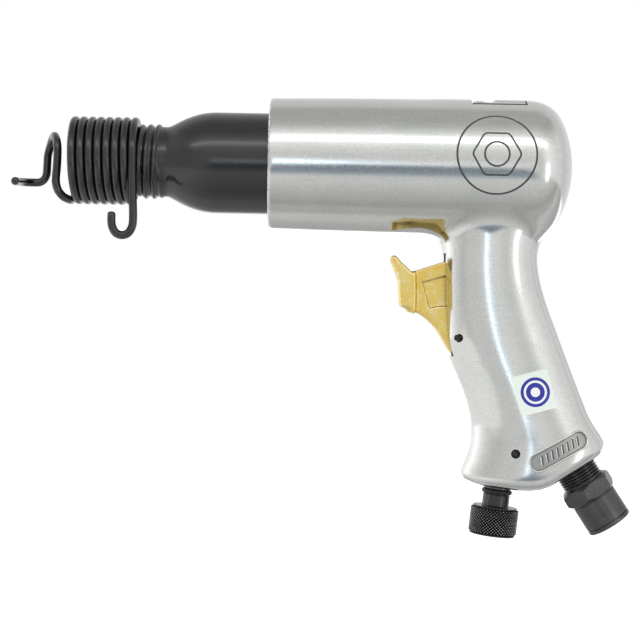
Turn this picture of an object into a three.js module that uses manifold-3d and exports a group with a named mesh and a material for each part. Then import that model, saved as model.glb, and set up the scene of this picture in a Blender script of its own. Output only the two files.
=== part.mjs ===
// Pneumatic air hammer: pistol-grip housing, steel barrel with a coiled chisel
// retainer, piston, shuttle valve stack, trigger-operated throttle, rotary air
// regulator and threaded air inlet. Millimetres, +Z up, barrel nose toward -X.
// All dimensions below are written from the barrel axis: X = 0 at the front face
// of the housing, Z = 0 on the axis. The whole model is then moved so that the
// origin is the middle of the grip, where the hand holds it.

import * as THREE from 'three';
import { mergeVertices } from 'three/addons/utils/BufferGeometryUtils.js';
import Module from 'manifold-3d';

const wasm = await Module();
wasm.setup();

// ---------------------------------------------------------------- dimensions
const GRIP_CENTRE = [87, 0, -66];      // becomes the origin

const SHROUD_R = 24.7;                 // housing round the barrel
const SHROUD_FRONT_R = 24.0;
const SHROUD_REAR_X = 109.4;
const GRIP_HALF_T = 15.6;              // half thickness of the grip across Y

const BARREL_R = 18.3;
const BARREL_SHANK_R = 16.0;           // threaded into the housing
const BARREL_NOSE_X = -70.5;
const BARREL_REAR_X = 38.0;
const LAND_R = 12.55;                  // land under the retainer coils
const CHISEL_BORE_R = 5.2;             // 10.2 mm shank
const PISTON_BORE_R = 9.6;

const PISTON_R = 9.3;
const PISTON_LEN = 32;
const PISTON_REST_X = 3.5;             // front face of the parked piston

const WIRE_R = 1.42;                   // retainer spring wire
const COIL_R = 14.5;                   // to the middle of the wire
const COIL_PITCH = 3.083;
const COIL_TURNS = 7.25;               // from the first top crest to the tail
const COIL_X0 = -70.76;                // first top crest

const TRIGGER_PIN = [69.2, -61.8];     // X, Z
const TRIGGER_PIN_R = 1.4;
const TRIGGER_WEB_HALF = 5.5;
const TRIGGER_BLADE_HALF = 7.4;
const THROTTLE_Z = -45;                // throttle bore axis, along X

const REG_TOP = [84.96, -116];         // regulator axis at the grip foot
const REG_DIR = [-0.1005, -0.9949];    // down the axis, in X and Z
const REG_STEM_R = 4.87;
const REG_KNOB_R = 8.65;
const REG_PIN = [90.2, -102.3];

const INLET_FACE = [113.13, -108.46];  // where the inlet axis leaves the grip
const INLET_DIR = [0.5548, -0.8320];
const INLET_THREAD_R = 7.6;
const INLET_HEX_AF = 17;

// ------------------------------------------------------------------- helpers
const V3 = (x, y, z) => new THREE.Vector3(x, y, z);

// geometry -> merged position-only geometry
function plain(geo) {
  let g = geo.clone();
  for (const n of Object.keys(g.attributes)) if (n !== 'position') g.deleteAttribute(n);
  if (g.index === null || g.index === undefined) g = mergeVertices(g, 1e-4);
  g = mergeVertices(g, 1e-4);
  // drop collapsed triangles and turn the shell outward if it is inside out
  const p = g.attributes.position, idx = [];
  for (let i = 0; i < g.index.count; i += 3) {
    const a = g.index.getX(i), b = g.index.getX(i + 1), c = g.index.getX(i + 2);
    if (a !== b && b !== c && a !== c) idx.push(a, b, c);
  }
  let vol = 0;
  const A = V3(), B = V3(), C = V3();
  for (let i = 0; i < idx.length; i += 3) {
    A.fromBufferAttribute(p, idx[i]);
    B.fromBufferAttribute(p, idx[i + 1]);
    C.fromBufferAttribute(p, idx[i + 2]);
    vol += A.dot(B.cross(C));
  }
  if (vol < 0) for (let i = 0; i < idx.length; i += 3) [idx[i + 1], idx[i + 2]] = [idx[i + 2], idx[i + 1]];
  g.setIndex(idx);
  return g;
}

function solid(geo) {
  const g = plain(geo);
  return new wasm.Manifold(new wasm.Mesh({
    numProp: 3,
    vertProperties: new Float32Array(g.attributes.position.array),
    triVerts: new Uint32Array(g.index.array),
  }));
}

function geometry(man) {
  const m = man.getMesh();
  const g = new THREE.BufferGeometry();
  const pos = new Float32Array((m.vertProperties.length / m.numProp) * 3);
  for (let i = 0, j = 0; i < m.vertProperties.length; i += m.numProp, j += 3) {
    pos[j] = m.vertProperties[i];
    pos[j + 1] = m.vertProperties[i + 1];
    pos[j + 2] = m.vertProperties[i + 2];
  }
  g.setAttribute('position', new THREE.BufferAttribute(pos, 3));
  g.setIndex(new THREE.BufferAttribute(new Uint32Array(m.triVerts), 1));
  return g;
}

// cylinder from point a to point b
function rod(r, a, b, seg = 24) {
  const A = V3(...a), B = V3(...b), d = B.clone().sub(A);
  const g = new THREE.CylinderGeometry(r, r, d.length(), seg);
  g.applyQuaternion(new THREE.Quaternion().setFromUnitVectors(V3(0, 1, 0), d.clone().normalize()));
  g.translate((A.x + B.x) / 2, (A.y + B.y) / 2, (A.z + B.z) / 2);
  return g;
}

function block(x0, x1, y0, y1, z0, z1) {
  const g = new THREE.BoxGeometry(x1 - x0, y1 - y0, z1 - z0);
  g.translate((x0 + x1) / 2, (y0 + y1) / 2, (z0 + z1) / 2);
  return g;
}

// turned piece: profile of [distance along the axis, radius]; a ring closes on itself
function turned(profile, seg = 32, ring = false) {
  const pts = profile.map(([h, r]) => new THREE.Vector2(Math.max(r, 0), h));
  if (ring) pts.push(pts[0].clone());
  return plain(new THREE.LatheGeometry(pts, seg));
}

// turned piece laid along a direction, from an origin
function laid(geo, origin, dir) {
  const q = new THREE.Quaternion().setFromUnitVectors(V3(0, 1, 0), V3(...dir).normalize());
  const g = geo.clone();
  g.applyQuaternion(q);
  g.translate(...origin);
  return g;
}
const turnedX = (profile, seg, ring) => laid(turned(profile, seg, ring), [0, 0, 0], [1, 0, 0]);

// outline in X and Z, extruded across Y between y0 and y1
function plate(outline, y0, y1) {
  const s = new THREE.Shape(outline.map(([x, z]) => new THREE.Vector2(x, z)));
  const g = new THREE.ExtrudeGeometry(s, { depth: y1 - y0, bevelEnabled: false, steps: 1 });
  g.rotateX(Math.PI / 2);       // shape plane XY -> XZ, extrusion +Z -> -Y
  g.translate(0, y1, 0);
  return g;
}

function steel(color, roughness = 0.35, metalness = 1) {
  return new THREE.MeshStandardMaterial({ color, roughness, metalness });
}

const MAT = {
  cast: () => steel(0xb9bcb6, 0.32, 0.9),
  black: () => steel(0x2b2b2d, 0.42, 0.6),
  blackWire: () => steel(0x222224, 0.4, 0.7),
  brass: () => steel(0xd9be5c, 0.35, 0.8),
  bright: () => steel(0xc4c6c8, 0.25, 1),
  zinc: () => steel(0xaab2bd, 0.3, 1),
  hard: () => steel(0x77797c, 0.3, 1),
  rubber: () => new THREE.MeshStandardMaterial({ color: 0x1a1a1a, roughness: 0.8, metalness: 0 }),
  label: () => new THREE.MeshStandardMaterial({ color: 0xdfe8e0, roughness: 0.5, metalness: 0 }),
};

const root = new THREE.Group();
root.position.set(-GRIP_CENTRE[0], -GRIP_CENTRE[1], -GRIP_CENTRE[2]);

function add(name, geo, material, parent = root) {
  const g = plain(geo);
  g.computeVertexNormals();
  const mesh = new THREE.Mesh(g, material);
  mesh.name = name;
  parent.add(mesh);
  return mesh;
}

// ------------------------------------------------------------------- housing
// Grip: sections at falling Z, each with its front edge, rear edge and half thickness
const GRIP_SECTIONS = [
  // z, xFront, xRear, halfThickness
  [-6.0, 52.0, 104.0, 14.0],
  [-19.5, 50.0, 103.0, 15.4],
  [-24.4, 51.5, 99.9, 15.6],
  [-25.1, 57.6, 99.6, 15.6],
  [-26.1, 60.2, 99.2, 15.6],
  [-28.5, 62.4, 98.3, 15.5],
  [-31.0, 63.3, 97.6, 15.4],
  [-36.5, 63.7, 98.0, 15.3],
  [-46.7, 64.7, 100.5, 15.2],
  [-57.0, 65.5, 104.4, 15.3],
  [-67.0, 66.8, 108.5, 15.5],
  [-74.3, 69.2, 111.3, 15.8],
  [-80.8, 72.3, 114.0, 16.0],
  [-87.3, 74.6, 116.5, 16.3],
  [-94.0, 75.7, 120.3, 16.6],
  [-100.0, 75.5, 123.4, 16.8],
  [-106.0, 74.2, 124.6, 16.9],
  [-111.0, 73.0, 125.4, 16.9],
  [-120.0, 73.0, 127.0, 16.9],
];
const SECTION_POWER = 2.55;

function gripLoft(extra = 0) {
  const n = GRIP_SECTIONS.length - 1;
  const g = new THREE.CylinderGeometry(1, 1, 1, 24, n);
  const p = g.attributes.position;
  const pw = (c) => Math.sign(c) * Math.pow(Math.abs(c), 2 / SECTION_POWER);
  for (let i = 0; i < p.count; i++) {
    const k = Math.round((0.5 - p.getY(i)) * n);
    const [z, xf, xr, t] = GRIP_SECTIONS[k];
    const r = Math.hypot(p.getX(i), p.getZ(i));
    const a = Math.atan2(p.getZ(i), p.getX(i));
    const A = (xr - xf) / 2 + extra, B = t + extra, xc = (xr + xf) / 2;
    if (r < 0.5) p.setXYZ(i, xc, 0, z);
    else p.setXYZ(i, xc + A * pw(Math.cos(a)), B * pw(Math.sin(a)), z);
  }
  return g;
}

// foot of the grip: front corner, foot, slanted inlet face, rear tip
const FOOT_OUTLINE = [
  [40, 10], [130, 10], [130, -96], [123.45, -98.6], [123.5, -100.3], [122.9, -101.8], [121.3, -103.3],
  [105.8, -112.85], [103.6, -114.35], [101.4, -115.5], [99.3, -116.2], [96, -116.5], [90.5, -116.45],
  [79.6, -114.9], [77.0, -114.2], [75.1, -113.2], [73.5, -111.9], [72.6, -110.2], [60, -104], [40, -60],
];

const shroud = solid(turnedX([
  [0, 0], [0, 22.9], [0.5, 23.6], [1.4, 24.0], [14, 24.3], [30, 24.55], [50, SHROUD_R], [95, SHROUD_R],
  [98.6, 23.9], [101.2, 22.5], [103.3, 20.4], [104.9, 18.2], [106.3, 15.0], [107.5, 11.7], [108.6, 7.5],
  [109.2, 3.4], [SHROUD_REAR_X, 0],
], 36));
const grip = solid(gripLoft()).intersect(solid(plate(FOOT_OUTLINE, -30, 30)));
let housing = shroud.add(grip);

const cut = (geo) => { housing = housing.subtract(solid(geo)); };

// barrel mouth, barrel thread and valve chamber, air chamber behind the valve
cut(turnedX([
  [-1, 0], [-1, 18.7], [6.6, 18.7], [6.6, 16.35], [66, 16.35], [66, 9], [80, 9], [82, 7], [82, 0],
], 32));
// exhaust: gallery from the valve chamber, window under the deflector, pocket for it
cut(rod(3.6, [58, 0, 13.2], [82, 0, 18.2], 16));
cut(block(78, 89.5, -4.5, 4.5, 15.5, 24));
const POCKET = { x0: 72.3, x1: 92.0, floor: 21.65 };
cut(block(POCKET.x0, POCKET.x1, -14, 14, POCKET.floor, 30));
cut(rod(1.5, [75.7, 0, 12.0], [75.7, 0, 26], 16));
// trigger slot and trigger pin hole
cut(block(52, 75.7, -6.1, 6.1, -68.4, -31.4));
cut(rod(TRIGGER_PIN_R + 0.3, [TRIGGER_PIN[0], -20, TRIGGER_PIN[1]], [TRIGGER_PIN[0], 20, TRIGGER_PIN[1]], 16));
// throttle bore
cut(rod(5.9, [70, 0, THROTTLE_Z], [94.8, 0, THROTTLE_Z], 28));
// air passage from the throttle seat to the chamber behind the valve
cut(rod(2.6, [80.6, 0, THROTTLE_Z + 1], [75.5, 0, -4], 14));
// inlet bore, passage from the inlet to the back of the throttle
const inl = (t, off = 0) => [INLET_FACE[0] + INLET_DIR[0] * t, off, INLET_FACE[1] + INLET_DIR[1] * t];
cut(rod(8.0, inl(-24), inl(6), 28));
cut(rod(3.0, inl(-22), [91.2, 0, THROTTLE_Z - 2], 14));
// regulator bore, passage to the inlet bore, regulator pin hole
const reg = (w, off = 0) => [REG_TOP[0] + REG_DIR[0] * w, off, REG_TOP[1] + REG_DIR[1] * w];
cut(rod(5.25, reg(-25), reg(8), 28));
cut(rod(2.0, [88, 0, -94.2], [100, 0, -94.2], 12));
cut(rod(1.7, [REG_PIN[0], -20, REG_PIN[1]], [REG_PIN[0], 20, REG_PIN[1]], 16));
add('housing', geometry(housing), MAT.cast());

// -------------------------------------------------------------------- barrel
const barrel = solid(turnedX([
  [BARREL_NOSE_X, 0], [BARREL_NOSE_X, 11.9], [BARREL_NOSE_X + 0.7, LAND_R], [-46.4, LAND_R],
  [-45.3, 13.6], [-44.5, 13.6], [-43.5, 12.7], [-42.3, 13.6], [-41.5, 13.6],
  [-40.4, 12.7], [-39.4, 13.1], [-38.4, 12.75], [-36.8, 12.75], [-34.5, 13.8], [-32.3, 15.1],
  [-29.4, 16.4], [-26.2, 17.5], [-23.2, 18.1], [-20.4, BARREL_R], [4.0, BARREL_R],
  [4.0, BARREL_SHANK_R], [BARREL_REAR_X - 1, BARREL_SHANK_R], [BARREL_REAR_X, 15.2], [BARREL_REAR_X, 0],
], 32)).subtract(solid(turnedX([
  [BARREL_NOSE_X - 1, 0], [BARREL_NOSE_X - 1, CHISEL_BORE_R + 1.6], [BARREL_NOSE_X + 0.9, CHISEL_BORE_R],
  [-45.5, CHISEL_BORE_R], [-42, PISTON_BORE_R], [BARREL_REAR_X + 1, PISTON_BORE_R], [BARREL_REAR_X + 1, 0],
], 24)));
add('barrel', geometry(barrel), MAT.black());

add('barrel_lock_ring', turnedX([[4.4, 16.35], [6.2, 16.35], [6.2, 18.3], [4.4, 18.3]], 24, true), MAT.hard());

const piston = add('piston', laid(turned([
  [0, 0], [0, 7.6], [1.2, PISTON_R], [10, PISTON_R], [10.4, 8.8], [12, 8.8], [12.4, PISTON_R],
  [PISTON_LEN - 1, PISTON_R], [PISTON_LEN, 8.4], [PISTON_LEN, 0],
], 24), [0, 0, 0], [1, 0, 0]), MAT.bright());
piston.position.set(PISTON_REST_X, 0, 0);

// --------------------------------------------------------------- valve stack
const DOWEL = { y: 14.05, r: 0.9 };
const dowelHole = (x0, x1) => solid(rod(DOWEL.r + 0.32, [x0, DOWEL.y, 0], [x1, DOWEL.y, 0], 12));
const frontCase = solid(turnedX([[38.35, 7.2], [46.4, 7.2], [46.4, 15.95], [38.35, 15.95]], 28, true))
  .subtract(dowelHole(39.6, 47));
add('valve_case_front', geometry(frontCase), MAT.hard());
add('valve_shuttle', turnedX([
  [47.4, 6.2], [52.0, 6.2], [52.5, 6.8], [52.5, 11.5], [52.0, 11.9], [47.9, 11.9], [47.4, 11.4],
], 24, true), MAT.bright());
const rearCase = solid(turnedX([
  [46.75, 12.3], [54.1, 12.3], [54.1, 5.2], [60.0, 5.2], [60.0, 15.95], [46.75, 15.95],
], 28, true)).subtract(dowelHole(46, 57.5));
add('valve_case_rear', geometry(rearCase), MAT.hard());
add('valve_dowel_pin', rod(DOWEL.r, [40.0, DOWEL.y, 0], [57.0, DOWEL.y, 0], 12), MAT.bright());
add('valve_back_plate', turnedX([[60.35, 4.6], [63.2, 4.6], [63.2, 15.95], [60.35, 15.95]], 28, true), MAT.hard());
add('valve_seal_ring', turnedX([
  [63.55, 13.8], [64.6, 12.6], [65.6, 13.8], [64.6, 15.2],
], 24, true), MAT.rubber());

// --------------------------------------------------------- exhaust deflector
const DEFL_Z = POCKET.floor + 0.32;
let deflector = solid(block(72.75, 91.55, -9.3, 9.3, DEFL_Z, DEFL_Z + 0.7))
  .add(solid(block(80.9, 91.55, -7.4, 7.4, DEFL_Z, 26)))
  .subtract(solid(block(82.0, 92.5, -5.4, 5.4, DEFL_Z - 1, 23.7)))
  .subtract(solid(rod(1.55, [75.7, 0, 20], [75.7, 0, 26], 16)))
  .intersect(solid(turnedX([[60, 0], [60, SHROUD_R - 0.12], [100, SHROUD_R - 0.12], [100, 0]], 72)));
add('exhaust_deflector', geometry(deflector), MAT.cast());
const screw = add('deflector_screw', laid(turned([
  [0, 0], [0, 1.2], [9.3, 1.2], [9.3, 2.3], [10.0, 2.3], [10.35, 1.9], [10.35, 0],
], 20), [0, 0, 0], [0, 0, 1]), MAT.zinc());
screw.position.set(75.7, 0, DEFL_Z + 1.02 - 9.3);

// ------------------------------------------------------------------- trigger
const TRIGGER_WEB = [
  [50.5, -37.9], [52.1, -38.3], [58, -36.4], [64.1, -34.4], [70.2, -33.2], [71.7, -37.2], [72.4, -41.2],
  [72.6, -50], [72.8, -58], [72.8, -63.4], [71.4, -65.4], [69.2, -66.1], [66.9, -67.1],
  [65.4, -65.2], [63.7, -62.2], [61.3, -58.6], [57.5, -54.95], [53.8, -52.7], [50.5, -51.6],
];
const TRIGGER_BLADE = [
  [44.8, -33.0], [45.4, -32.2], [46.4, -32.2], [48.8, -34.7], [50.5, -36.4], [52.1, -38.3], [53.7, -39.6],
  [53.8, -52.6], [51.4, -51.9], [48.9, -51.0], [48.0, -49.7], [47.75, -45], [47.7, -40.2], [46.4, -36.7],
];
const TRIGGER_RECESS = [[56.0, -42.0], [63.8, -39.4], [63.8, -49.9], [58.8, -51.4]];
const pinCut = (x, z, r) => solid(rod(r, [x, -20, z], [x, 20, z], 16));
const trigger = solid(plate(TRIGGER_WEB, -TRIGGER_WEB_HALF, TRIGGER_WEB_HALF))
  .add(solid(plate(TRIGGER_BLADE, -TRIGGER_BLADE_HALF, TRIGGER_BLADE_HALF)))
  .subtract(solid(plate(TRIGGER_RECESS, TRIGGER_WEB_HALF - 1.0, 12)))
  .subtract(solid(plate(TRIGGER_RECESS, -12, -TRIGGER_WEB_HALF + 1.0)))
  .subtract(pinCut(TRIGGER_PIN[0], TRIGGER_PIN[1], TRIGGER_PIN_R + 0.35));
const triggerGroup = new THREE.Group();      // turns about the trigger pin
triggerGroup.position.set(TRIGGER_PIN[0], 0, TRIGGER_PIN[1]);
root.add(triggerGroup);
const triggerGeo = geometry(trigger);
triggerGeo.translate(-TRIGGER_PIN[0], 0, -TRIGGER_PIN[1]);
add('trigger', triggerGeo, MAT.brass(), triggerGroup);
add('trigger_pin', rod(TRIGGER_PIN_R, [TRIGGER_PIN[0], -9.6, TRIGGER_PIN[1]], [TRIGGER_PIN[0], 9.6, TRIGGER_PIN[1]], 16), MAT.black());

// ------------------------------------------------------------ throttle valve
const T = [0, 0, THROTTLE_Z];
const along = (profile, seg, ring) => laid(turned(profile, seg, ring), T, [1, 0, 0]);
add('throttle_bushing', along([
  [76.3, 1.85], [83.2, 1.85], [83.2, 4.6], [82.0, 5.55], [79.9, 5.55], [79.9, 4.4], [78.2, 4.4], [78.2, 5.55], [76.3, 5.55],
], 24, true), MAT.brass());
add('throttle_bushing_o_ring', along([
  [78.5, 4.75], [79.6, 4.75], [79.6, 5.55], [78.5, 5.55],
], 24, true), MAT.rubber());
add('throttle_plunger', along([
  [73.0, 0], [73.0, 0.9], [73.5, 1.5], [82.9, 1.5], [83.3, 1.2], [83.3, 0],
], 16), MAT.bright());
add('throttle_valve', along([
  [83.65, 0], [83.65, 3.6], [84.3, 4.4], [86.4, 4.4], [86.4, 1.9], [88.6, 1.9], [88.9, 1.5], [88.9, 0],
], 20), MAT.rubber());
// conical return spring, drawn at the length it has with the trigger pulled
class Coil extends THREE.Curve {
  constructor(fn) { super(); this.fn = fn; }
  getPoint(t, target = V3()) { return target.copy(this.fn(t)); }
}
function wireAlong(curve, r, steps, sides) {
  const s = new THREE.Shape();
  for (let i = 0; i < sides; i++) {
    const a = (i / sides) * 2 * Math.PI;
    if (i === 0) s.moveTo(r * Math.cos(a), r * Math.sin(a));
    else s.lineTo(r * Math.cos(a), r * Math.sin(a));
  }
  s.closePath();
  return new THREE.ExtrudeGeometry(s, { steps, bevelEnabled: false, extrudePath: curve });
}
add('throttle_spring', wireAlong(new Coil((t) => {
  const a = t * 3.5 * 2 * Math.PI, R = 3.1 + 1.3 * t;
  return V3(89.65 + 4.55 * t, R * Math.sin(a), THROTTLE_Z + R * Math.cos(a));
}), 0.35, 40, 5), MAT.bright());

// ----------------------------------------------------------------- regulator
const regDown = [REG_DIR[0], 0, REG_DIR[1]];
const regGroup = new THREE.Group();          // its own Y runs down the regulator axis
regGroup.position.set(REG_TOP[0], 0, REG_TOP[1]);
regGroup.quaternion.setFromUnitVectors(V3(0, 1, 0), V3(...regDown).normalize());
root.add(regGroup);
const knob = [
  [-23.6, 0], [-23.6, 4.0], [-22.8, REG_STEM_R], [-21.9, REG_STEM_R], [-21.9, 3.7], [-19.9, 3.7], [-19.9, REG_STEM_R],
  [-16.2, REG_STEM_R], [-15.9, 2.2], [-11.6, 2.2], [-11.3, REG_STEM_R], [0.1, REG_STEM_R], [0.1, 3.9], [2.3, 3.9],
  [2.3, REG_STEM_R], [6.6, REG_STEM_R], [6.7, 7.9], [7.4, REG_KNOB_R], [16.3, REG_KNOB_R], [17.05, 7.9], [17.05, 0],
];
add('regulator_screw', turned(knob, 24), MAT.black(), regGroup);
add('regulator_o_ring_lower', turned([[0.4, 4.25], [2.0, 4.25], [2.0, 5.15], [0.4, 5.15]], 24, true), MAT.rubber(), regGroup);
add('regulator_o_ring_upper', turned([[-21.6, 4.05], [-20.2, 4.05], [-20.2, 4.87], [-21.6, 4.87]], 24, true), MAT.rubber(), regGroup);
add('regulator_pin', rod(1.3, [REG_PIN[0], -15.4, REG_PIN[1]], [REG_PIN[0], 15.4, REG_PIN[1]], 16), MAT.black());

// ----------------------------------------------------------------- air inlet
const inletGroup = new THREE.Group();        // its own Y runs out along the inlet axis
inletGroup.position.set(INLET_FACE[0], 0, INLET_FACE[1]);
inletGroup.quaternion.setFromUnitVectors(V3(0, 1, 0), V3(INLET_DIR[0], 0, INLET_DIR[1]).normalize());
root.add(inletGroup);
const hexRaw = new THREE.CylinderGeometry(INLET_HEX_AF / Math.sqrt(3), INLET_HEX_AF / Math.sqrt(3), 6.0, 6);
hexRaw.rotateY(THREE.MathUtils.degToRad(33));
hexRaw.translate(0, 8.8, 0);
const hex = solid(hexRaw).intersect(solid(turned([[5, 0], [5, 8.0], [7.0, 10.2], [10.6, 10.2], [12.2, 8.6], [12.2, 0]], 36)));
const bushing = solid(turned([
  [-17.5, 0], [-17.5, 7.0], [-16.9, INLET_THREAD_R], [5.9, INLET_THREAD_R], [5.9, 8.2], [21.4, 8.25],
  [21.6, 7.9], [21.9, 8.25], [23.1, 8.25], [23.4, 7.9], [23.4, 0],
], 32)).add(hex).subtract(solid(turned([
  [-18.5, 0], [-18.5, 4.3], [8.6, 4.3], [9.4, 5.7], [22.7, 5.7], [24.5, 6.9], [24.5, 0],
], 28)));
add('inlet_bushing', geometry(bushing), MAT.black(), inletGroup);
add('inlet_strainer', turned([
  [-16.6, 0], [-16.6, 2.6], [-7.0, 3.9], [-6.2, 3.9], [-6.2, 3.2], [-15.9, 1.9], [-15.9, 0],
], 20), MAT.brass(), inletGroup);

// --------------------------------------------------------------------- label
const LABEL = [[87.55, -75.2], [100.2, -71.7], [104.6, -85.4], [91.5, -88.9]];
const label = solid(gripLoft(0.75)).subtract(solid(gripLoft(0.32)))
  .intersect(solid(plate(LABEL, -25, 0)));
add('grip_label', geometry(label), MAT.label());

// ----------------------------------------------------------- retainer spring
// One wire: hook under the chisel shank, loop over it, close coils round the
// barrel land, tail with a J for pulling it off.
const pts = [
  [-92.9, -5.2, -8.7], [-93.1, -2.0, -8.5], [-92.8, 2.2, -8.25], [-91.3, 5.9, -8.05], [-88.3, 7.9, -7.95],
  [-85.6, 8.3, -7.8], [-83.6, 8.4, -7.0], [-82.4, 8.4, -5.2], [-82.2, 8.4, -1.5], [-82.1, 8.3, 2.5],
  [-81.6, 7.4, 5.8], [-80.6, 4.6, 8.0], [-79.4, 0.5, 8.7], [-78.2, -4.2, 7.9], [-77.0, -7.6, 5.6],
  [-76.6, -8.6, 2.0], [-76.5, -8.7, -3.0], [-76.5, -8.6, -8.0], [-75.9, -8.1, -11.3], [-74.5, -5.9, -13.5],
  [-73.1, -3.0, -14.35],
].map((p) => V3(...p));
for (let a = -175; a <= COIL_TURNS * 360 + 0.01; a += 15) {
  const t = THREE.MathUtils.degToRad(a);
  pts.push(V3(COIL_X0 + (COIL_PITCH * a) / 360, -COIL_R * Math.sin(t), COIL_R * Math.cos(t)));
}
for (const p of [
  [-48.3, -14.6, -5], [-48.0, -14.7, -12], [-47.7, -14.7, -18], [-47.6, -14.7, -22], [-47.9, -14.7, -24.6],
  [-49.2, -14.7, -26.9], [-51.4, -14.7, -27.7], [-53.7, -14.7, -26.9], [-55.0, -14.7, -24.6],
  [-55.3, -14.7, -21.8], [-55.3, -14.7, -19.0],
]) pts.push(V3(...p));
add('retainer_spring', wireAlong(new THREE.CatmullRomCurve3(pts, false, 'centripetal'), WIRE_R, 180, 6), MAT.blackWire());

export default root;
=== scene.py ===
# Looks of the pneumatic air hammer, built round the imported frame.
# Lengths in this file are millimetres from the barrel axis at the housing's
# front face (X back, Z up); P() turns them into metres in the row frame.
import math

import bmesh
import bpy
import numpy as np
from mathutils import Matrix, Vector


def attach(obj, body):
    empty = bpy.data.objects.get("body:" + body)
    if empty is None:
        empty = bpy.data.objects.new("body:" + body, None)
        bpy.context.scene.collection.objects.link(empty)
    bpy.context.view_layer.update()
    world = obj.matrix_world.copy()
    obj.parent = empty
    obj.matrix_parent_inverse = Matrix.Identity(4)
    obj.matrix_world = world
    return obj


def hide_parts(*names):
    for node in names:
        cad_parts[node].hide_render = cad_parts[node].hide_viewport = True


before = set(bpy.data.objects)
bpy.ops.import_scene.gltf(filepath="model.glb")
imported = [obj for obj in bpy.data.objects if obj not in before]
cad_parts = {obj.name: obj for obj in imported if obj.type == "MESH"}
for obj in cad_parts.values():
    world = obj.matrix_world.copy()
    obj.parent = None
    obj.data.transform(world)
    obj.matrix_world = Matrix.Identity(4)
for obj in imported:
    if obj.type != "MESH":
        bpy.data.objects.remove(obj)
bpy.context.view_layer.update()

GC = np.array([87.0, 0.0, -66.0])          # grip centre, the row's origin


def P(p):
    return (np.asarray(p, float) - GC) * 0.001


# ---------------------------------------------------------------- mesh helpers
def signed_volume(V, F):
    a = V[F[:, 0]]
    vol = 0.0
    for i in range(1, F.shape[1] - 1):
        vol += float(np.einsum("ij,ij->", a, np.cross(V[F[:, i]], V[F[:, i + 1]])))
    return vol


def make(name, V, F, mat=None, angle=35.0, extra=None, weld=0.0, fix=True):
    """V in millimetres, F an array of quads (or triangles), extra a list of further faces."""
    V = np.asarray(V, float)
    F = np.asarray(F, np.int64)
    if fix and signed_volume(V, F) < 0:
        F = F[:, ::-1]
        if extra:
            extra = [list(e)[::-1] for e in extra]
    me = bpy.data.meshes.new(name)
    n = F.shape[1]
    loops = F.ravel()
    starts = np.arange(0, F.size, n)
    if extra:
        more = [np.asarray(e) for e in extra]
        starts = np.concatenate([starts, F.size + np.cumsum([0] + [len(e) for e in more[:-1]])])
        loops = np.concatenate([loops] + more)
    me.vertices.add(len(V))
    me.vertices.foreach_set("co", P(V).astype(np.float32).ravel())
    me.loops.add(len(loops))
    me.loops.foreach_set("vertex_index", loops.astype(np.int32))
    me.polygons.add(len(starts))
    me.polygons.foreach_set("loop_start", starts.astype(np.int32))
    me.update(calc_edges=True)
    me.validate()
    ob = bpy.data.objects.new(name, me)
    bpy.context.scene.collection.objects.link(ob)
    if weld:
        bm = bmesh.new()
        bm.from_mesh(me)
        bmesh.ops.remove_doubles(bm, verts=bm.verts, dist=weld * 0.001)
        bmesh.ops.dissolve_degenerate(bm, edges=bm.edges, dist=weld * 0.0005)
        bmesh.ops.recalc_face_normals(bm, faces=bm.faces)
        bm.to_mesh(me)
        bm.free()
    if mat is not None:
        me.materials.append(mat)
    smooth(ob, angle)
    return ob


def smooth(ob, angle=35.0):
    me = ob.data
    me.shade_smooth()
    if angle < 179:
        me.set_sharp_from_angle(angle=math.radians(angle))


def settle(ob):
    """Applies the object's modifiers."""
    deps = bpy.context.evaluated_depsgraph_get()
    me = bpy.data.meshes.new_from_object(ob.evaluated_get(deps))
    ob.modifiers.clear()
    old = ob.data
    ob.data = me
    bpy.data.meshes.remove(old)
    return ob


def boolean(ob, others, op="DIFFERENCE"):
    for o in others:
        m = ob.modifiers.new("cut", "BOOLEAN")
        m.operation = op
        m.solver = "MANIFOLD"
        m.object = o
    settle(ob)
    for o in others:
        me = o.data
        bpy.data.objects.remove(o)
        bpy.data.meshes.remove(me)
    return ob


def axes_for(axis):
    a = np.asarray(axis, float)
    a = a / np.linalg.norm(a)
    ref = np.array([0.0, -1.0, 0.0]) if abs(a[1]) < 0.9 else np.array([0.0, 0.0, 1.0])
    e2 = ref - a * ref.dot(a)
    e2 /= np.linalg.norm(e2)
    return a, e2, np.cross(a, e2)


def lathe(profile, seg=96, origin=(0, 0, 0), axis=(1, 0, 0), ring=False, radius=None):
    """Turned solid. profile is [(along, r), ...]; radius(h, r, phi) may vary it round the axis."""
    a, e2, e3 = axes_for(axis)
    prof = np.asarray(profile, float)
    n = len(prof)
    phi = np.arange(seg) * 2 * math.pi / seg
    H, PH = np.meshgrid(prof[:, 0], phi, indexing="ij")
    R = np.repeat(prof[:, 1][:, None], seg, 1)
    if radius is not None:
        H, R = radius(H, R, PH)
    V = (np.asarray(origin, float) + H[..., None] * a + (R * np.cos(PH))[..., None] * e2
         + (R * np.sin(PH))[..., None] * e3).reshape(-1, 3)
    rows = n if ring else n - 1
    i = np.arange(rows)[:, None]
    j = np.arange(seg)[None, :]
    i2, j2 = (i + 1) % n, (j + 1) % seg
    F = np.stack([i * seg + j, i2 * seg + j, i2 * seg + j2, i * seg + j2], -1).reshape(-1, 4)
    extra = None
    if not ring:
        extra = [list(range(seg))[::-1], list(range((n - 1) * seg, n * seg))]
        # the caps wind the way the side faces do
        extra = [list(range(seg)), list(range((n - 1) * seg, n * seg))[::-1]]
    return V, F, extra


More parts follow.
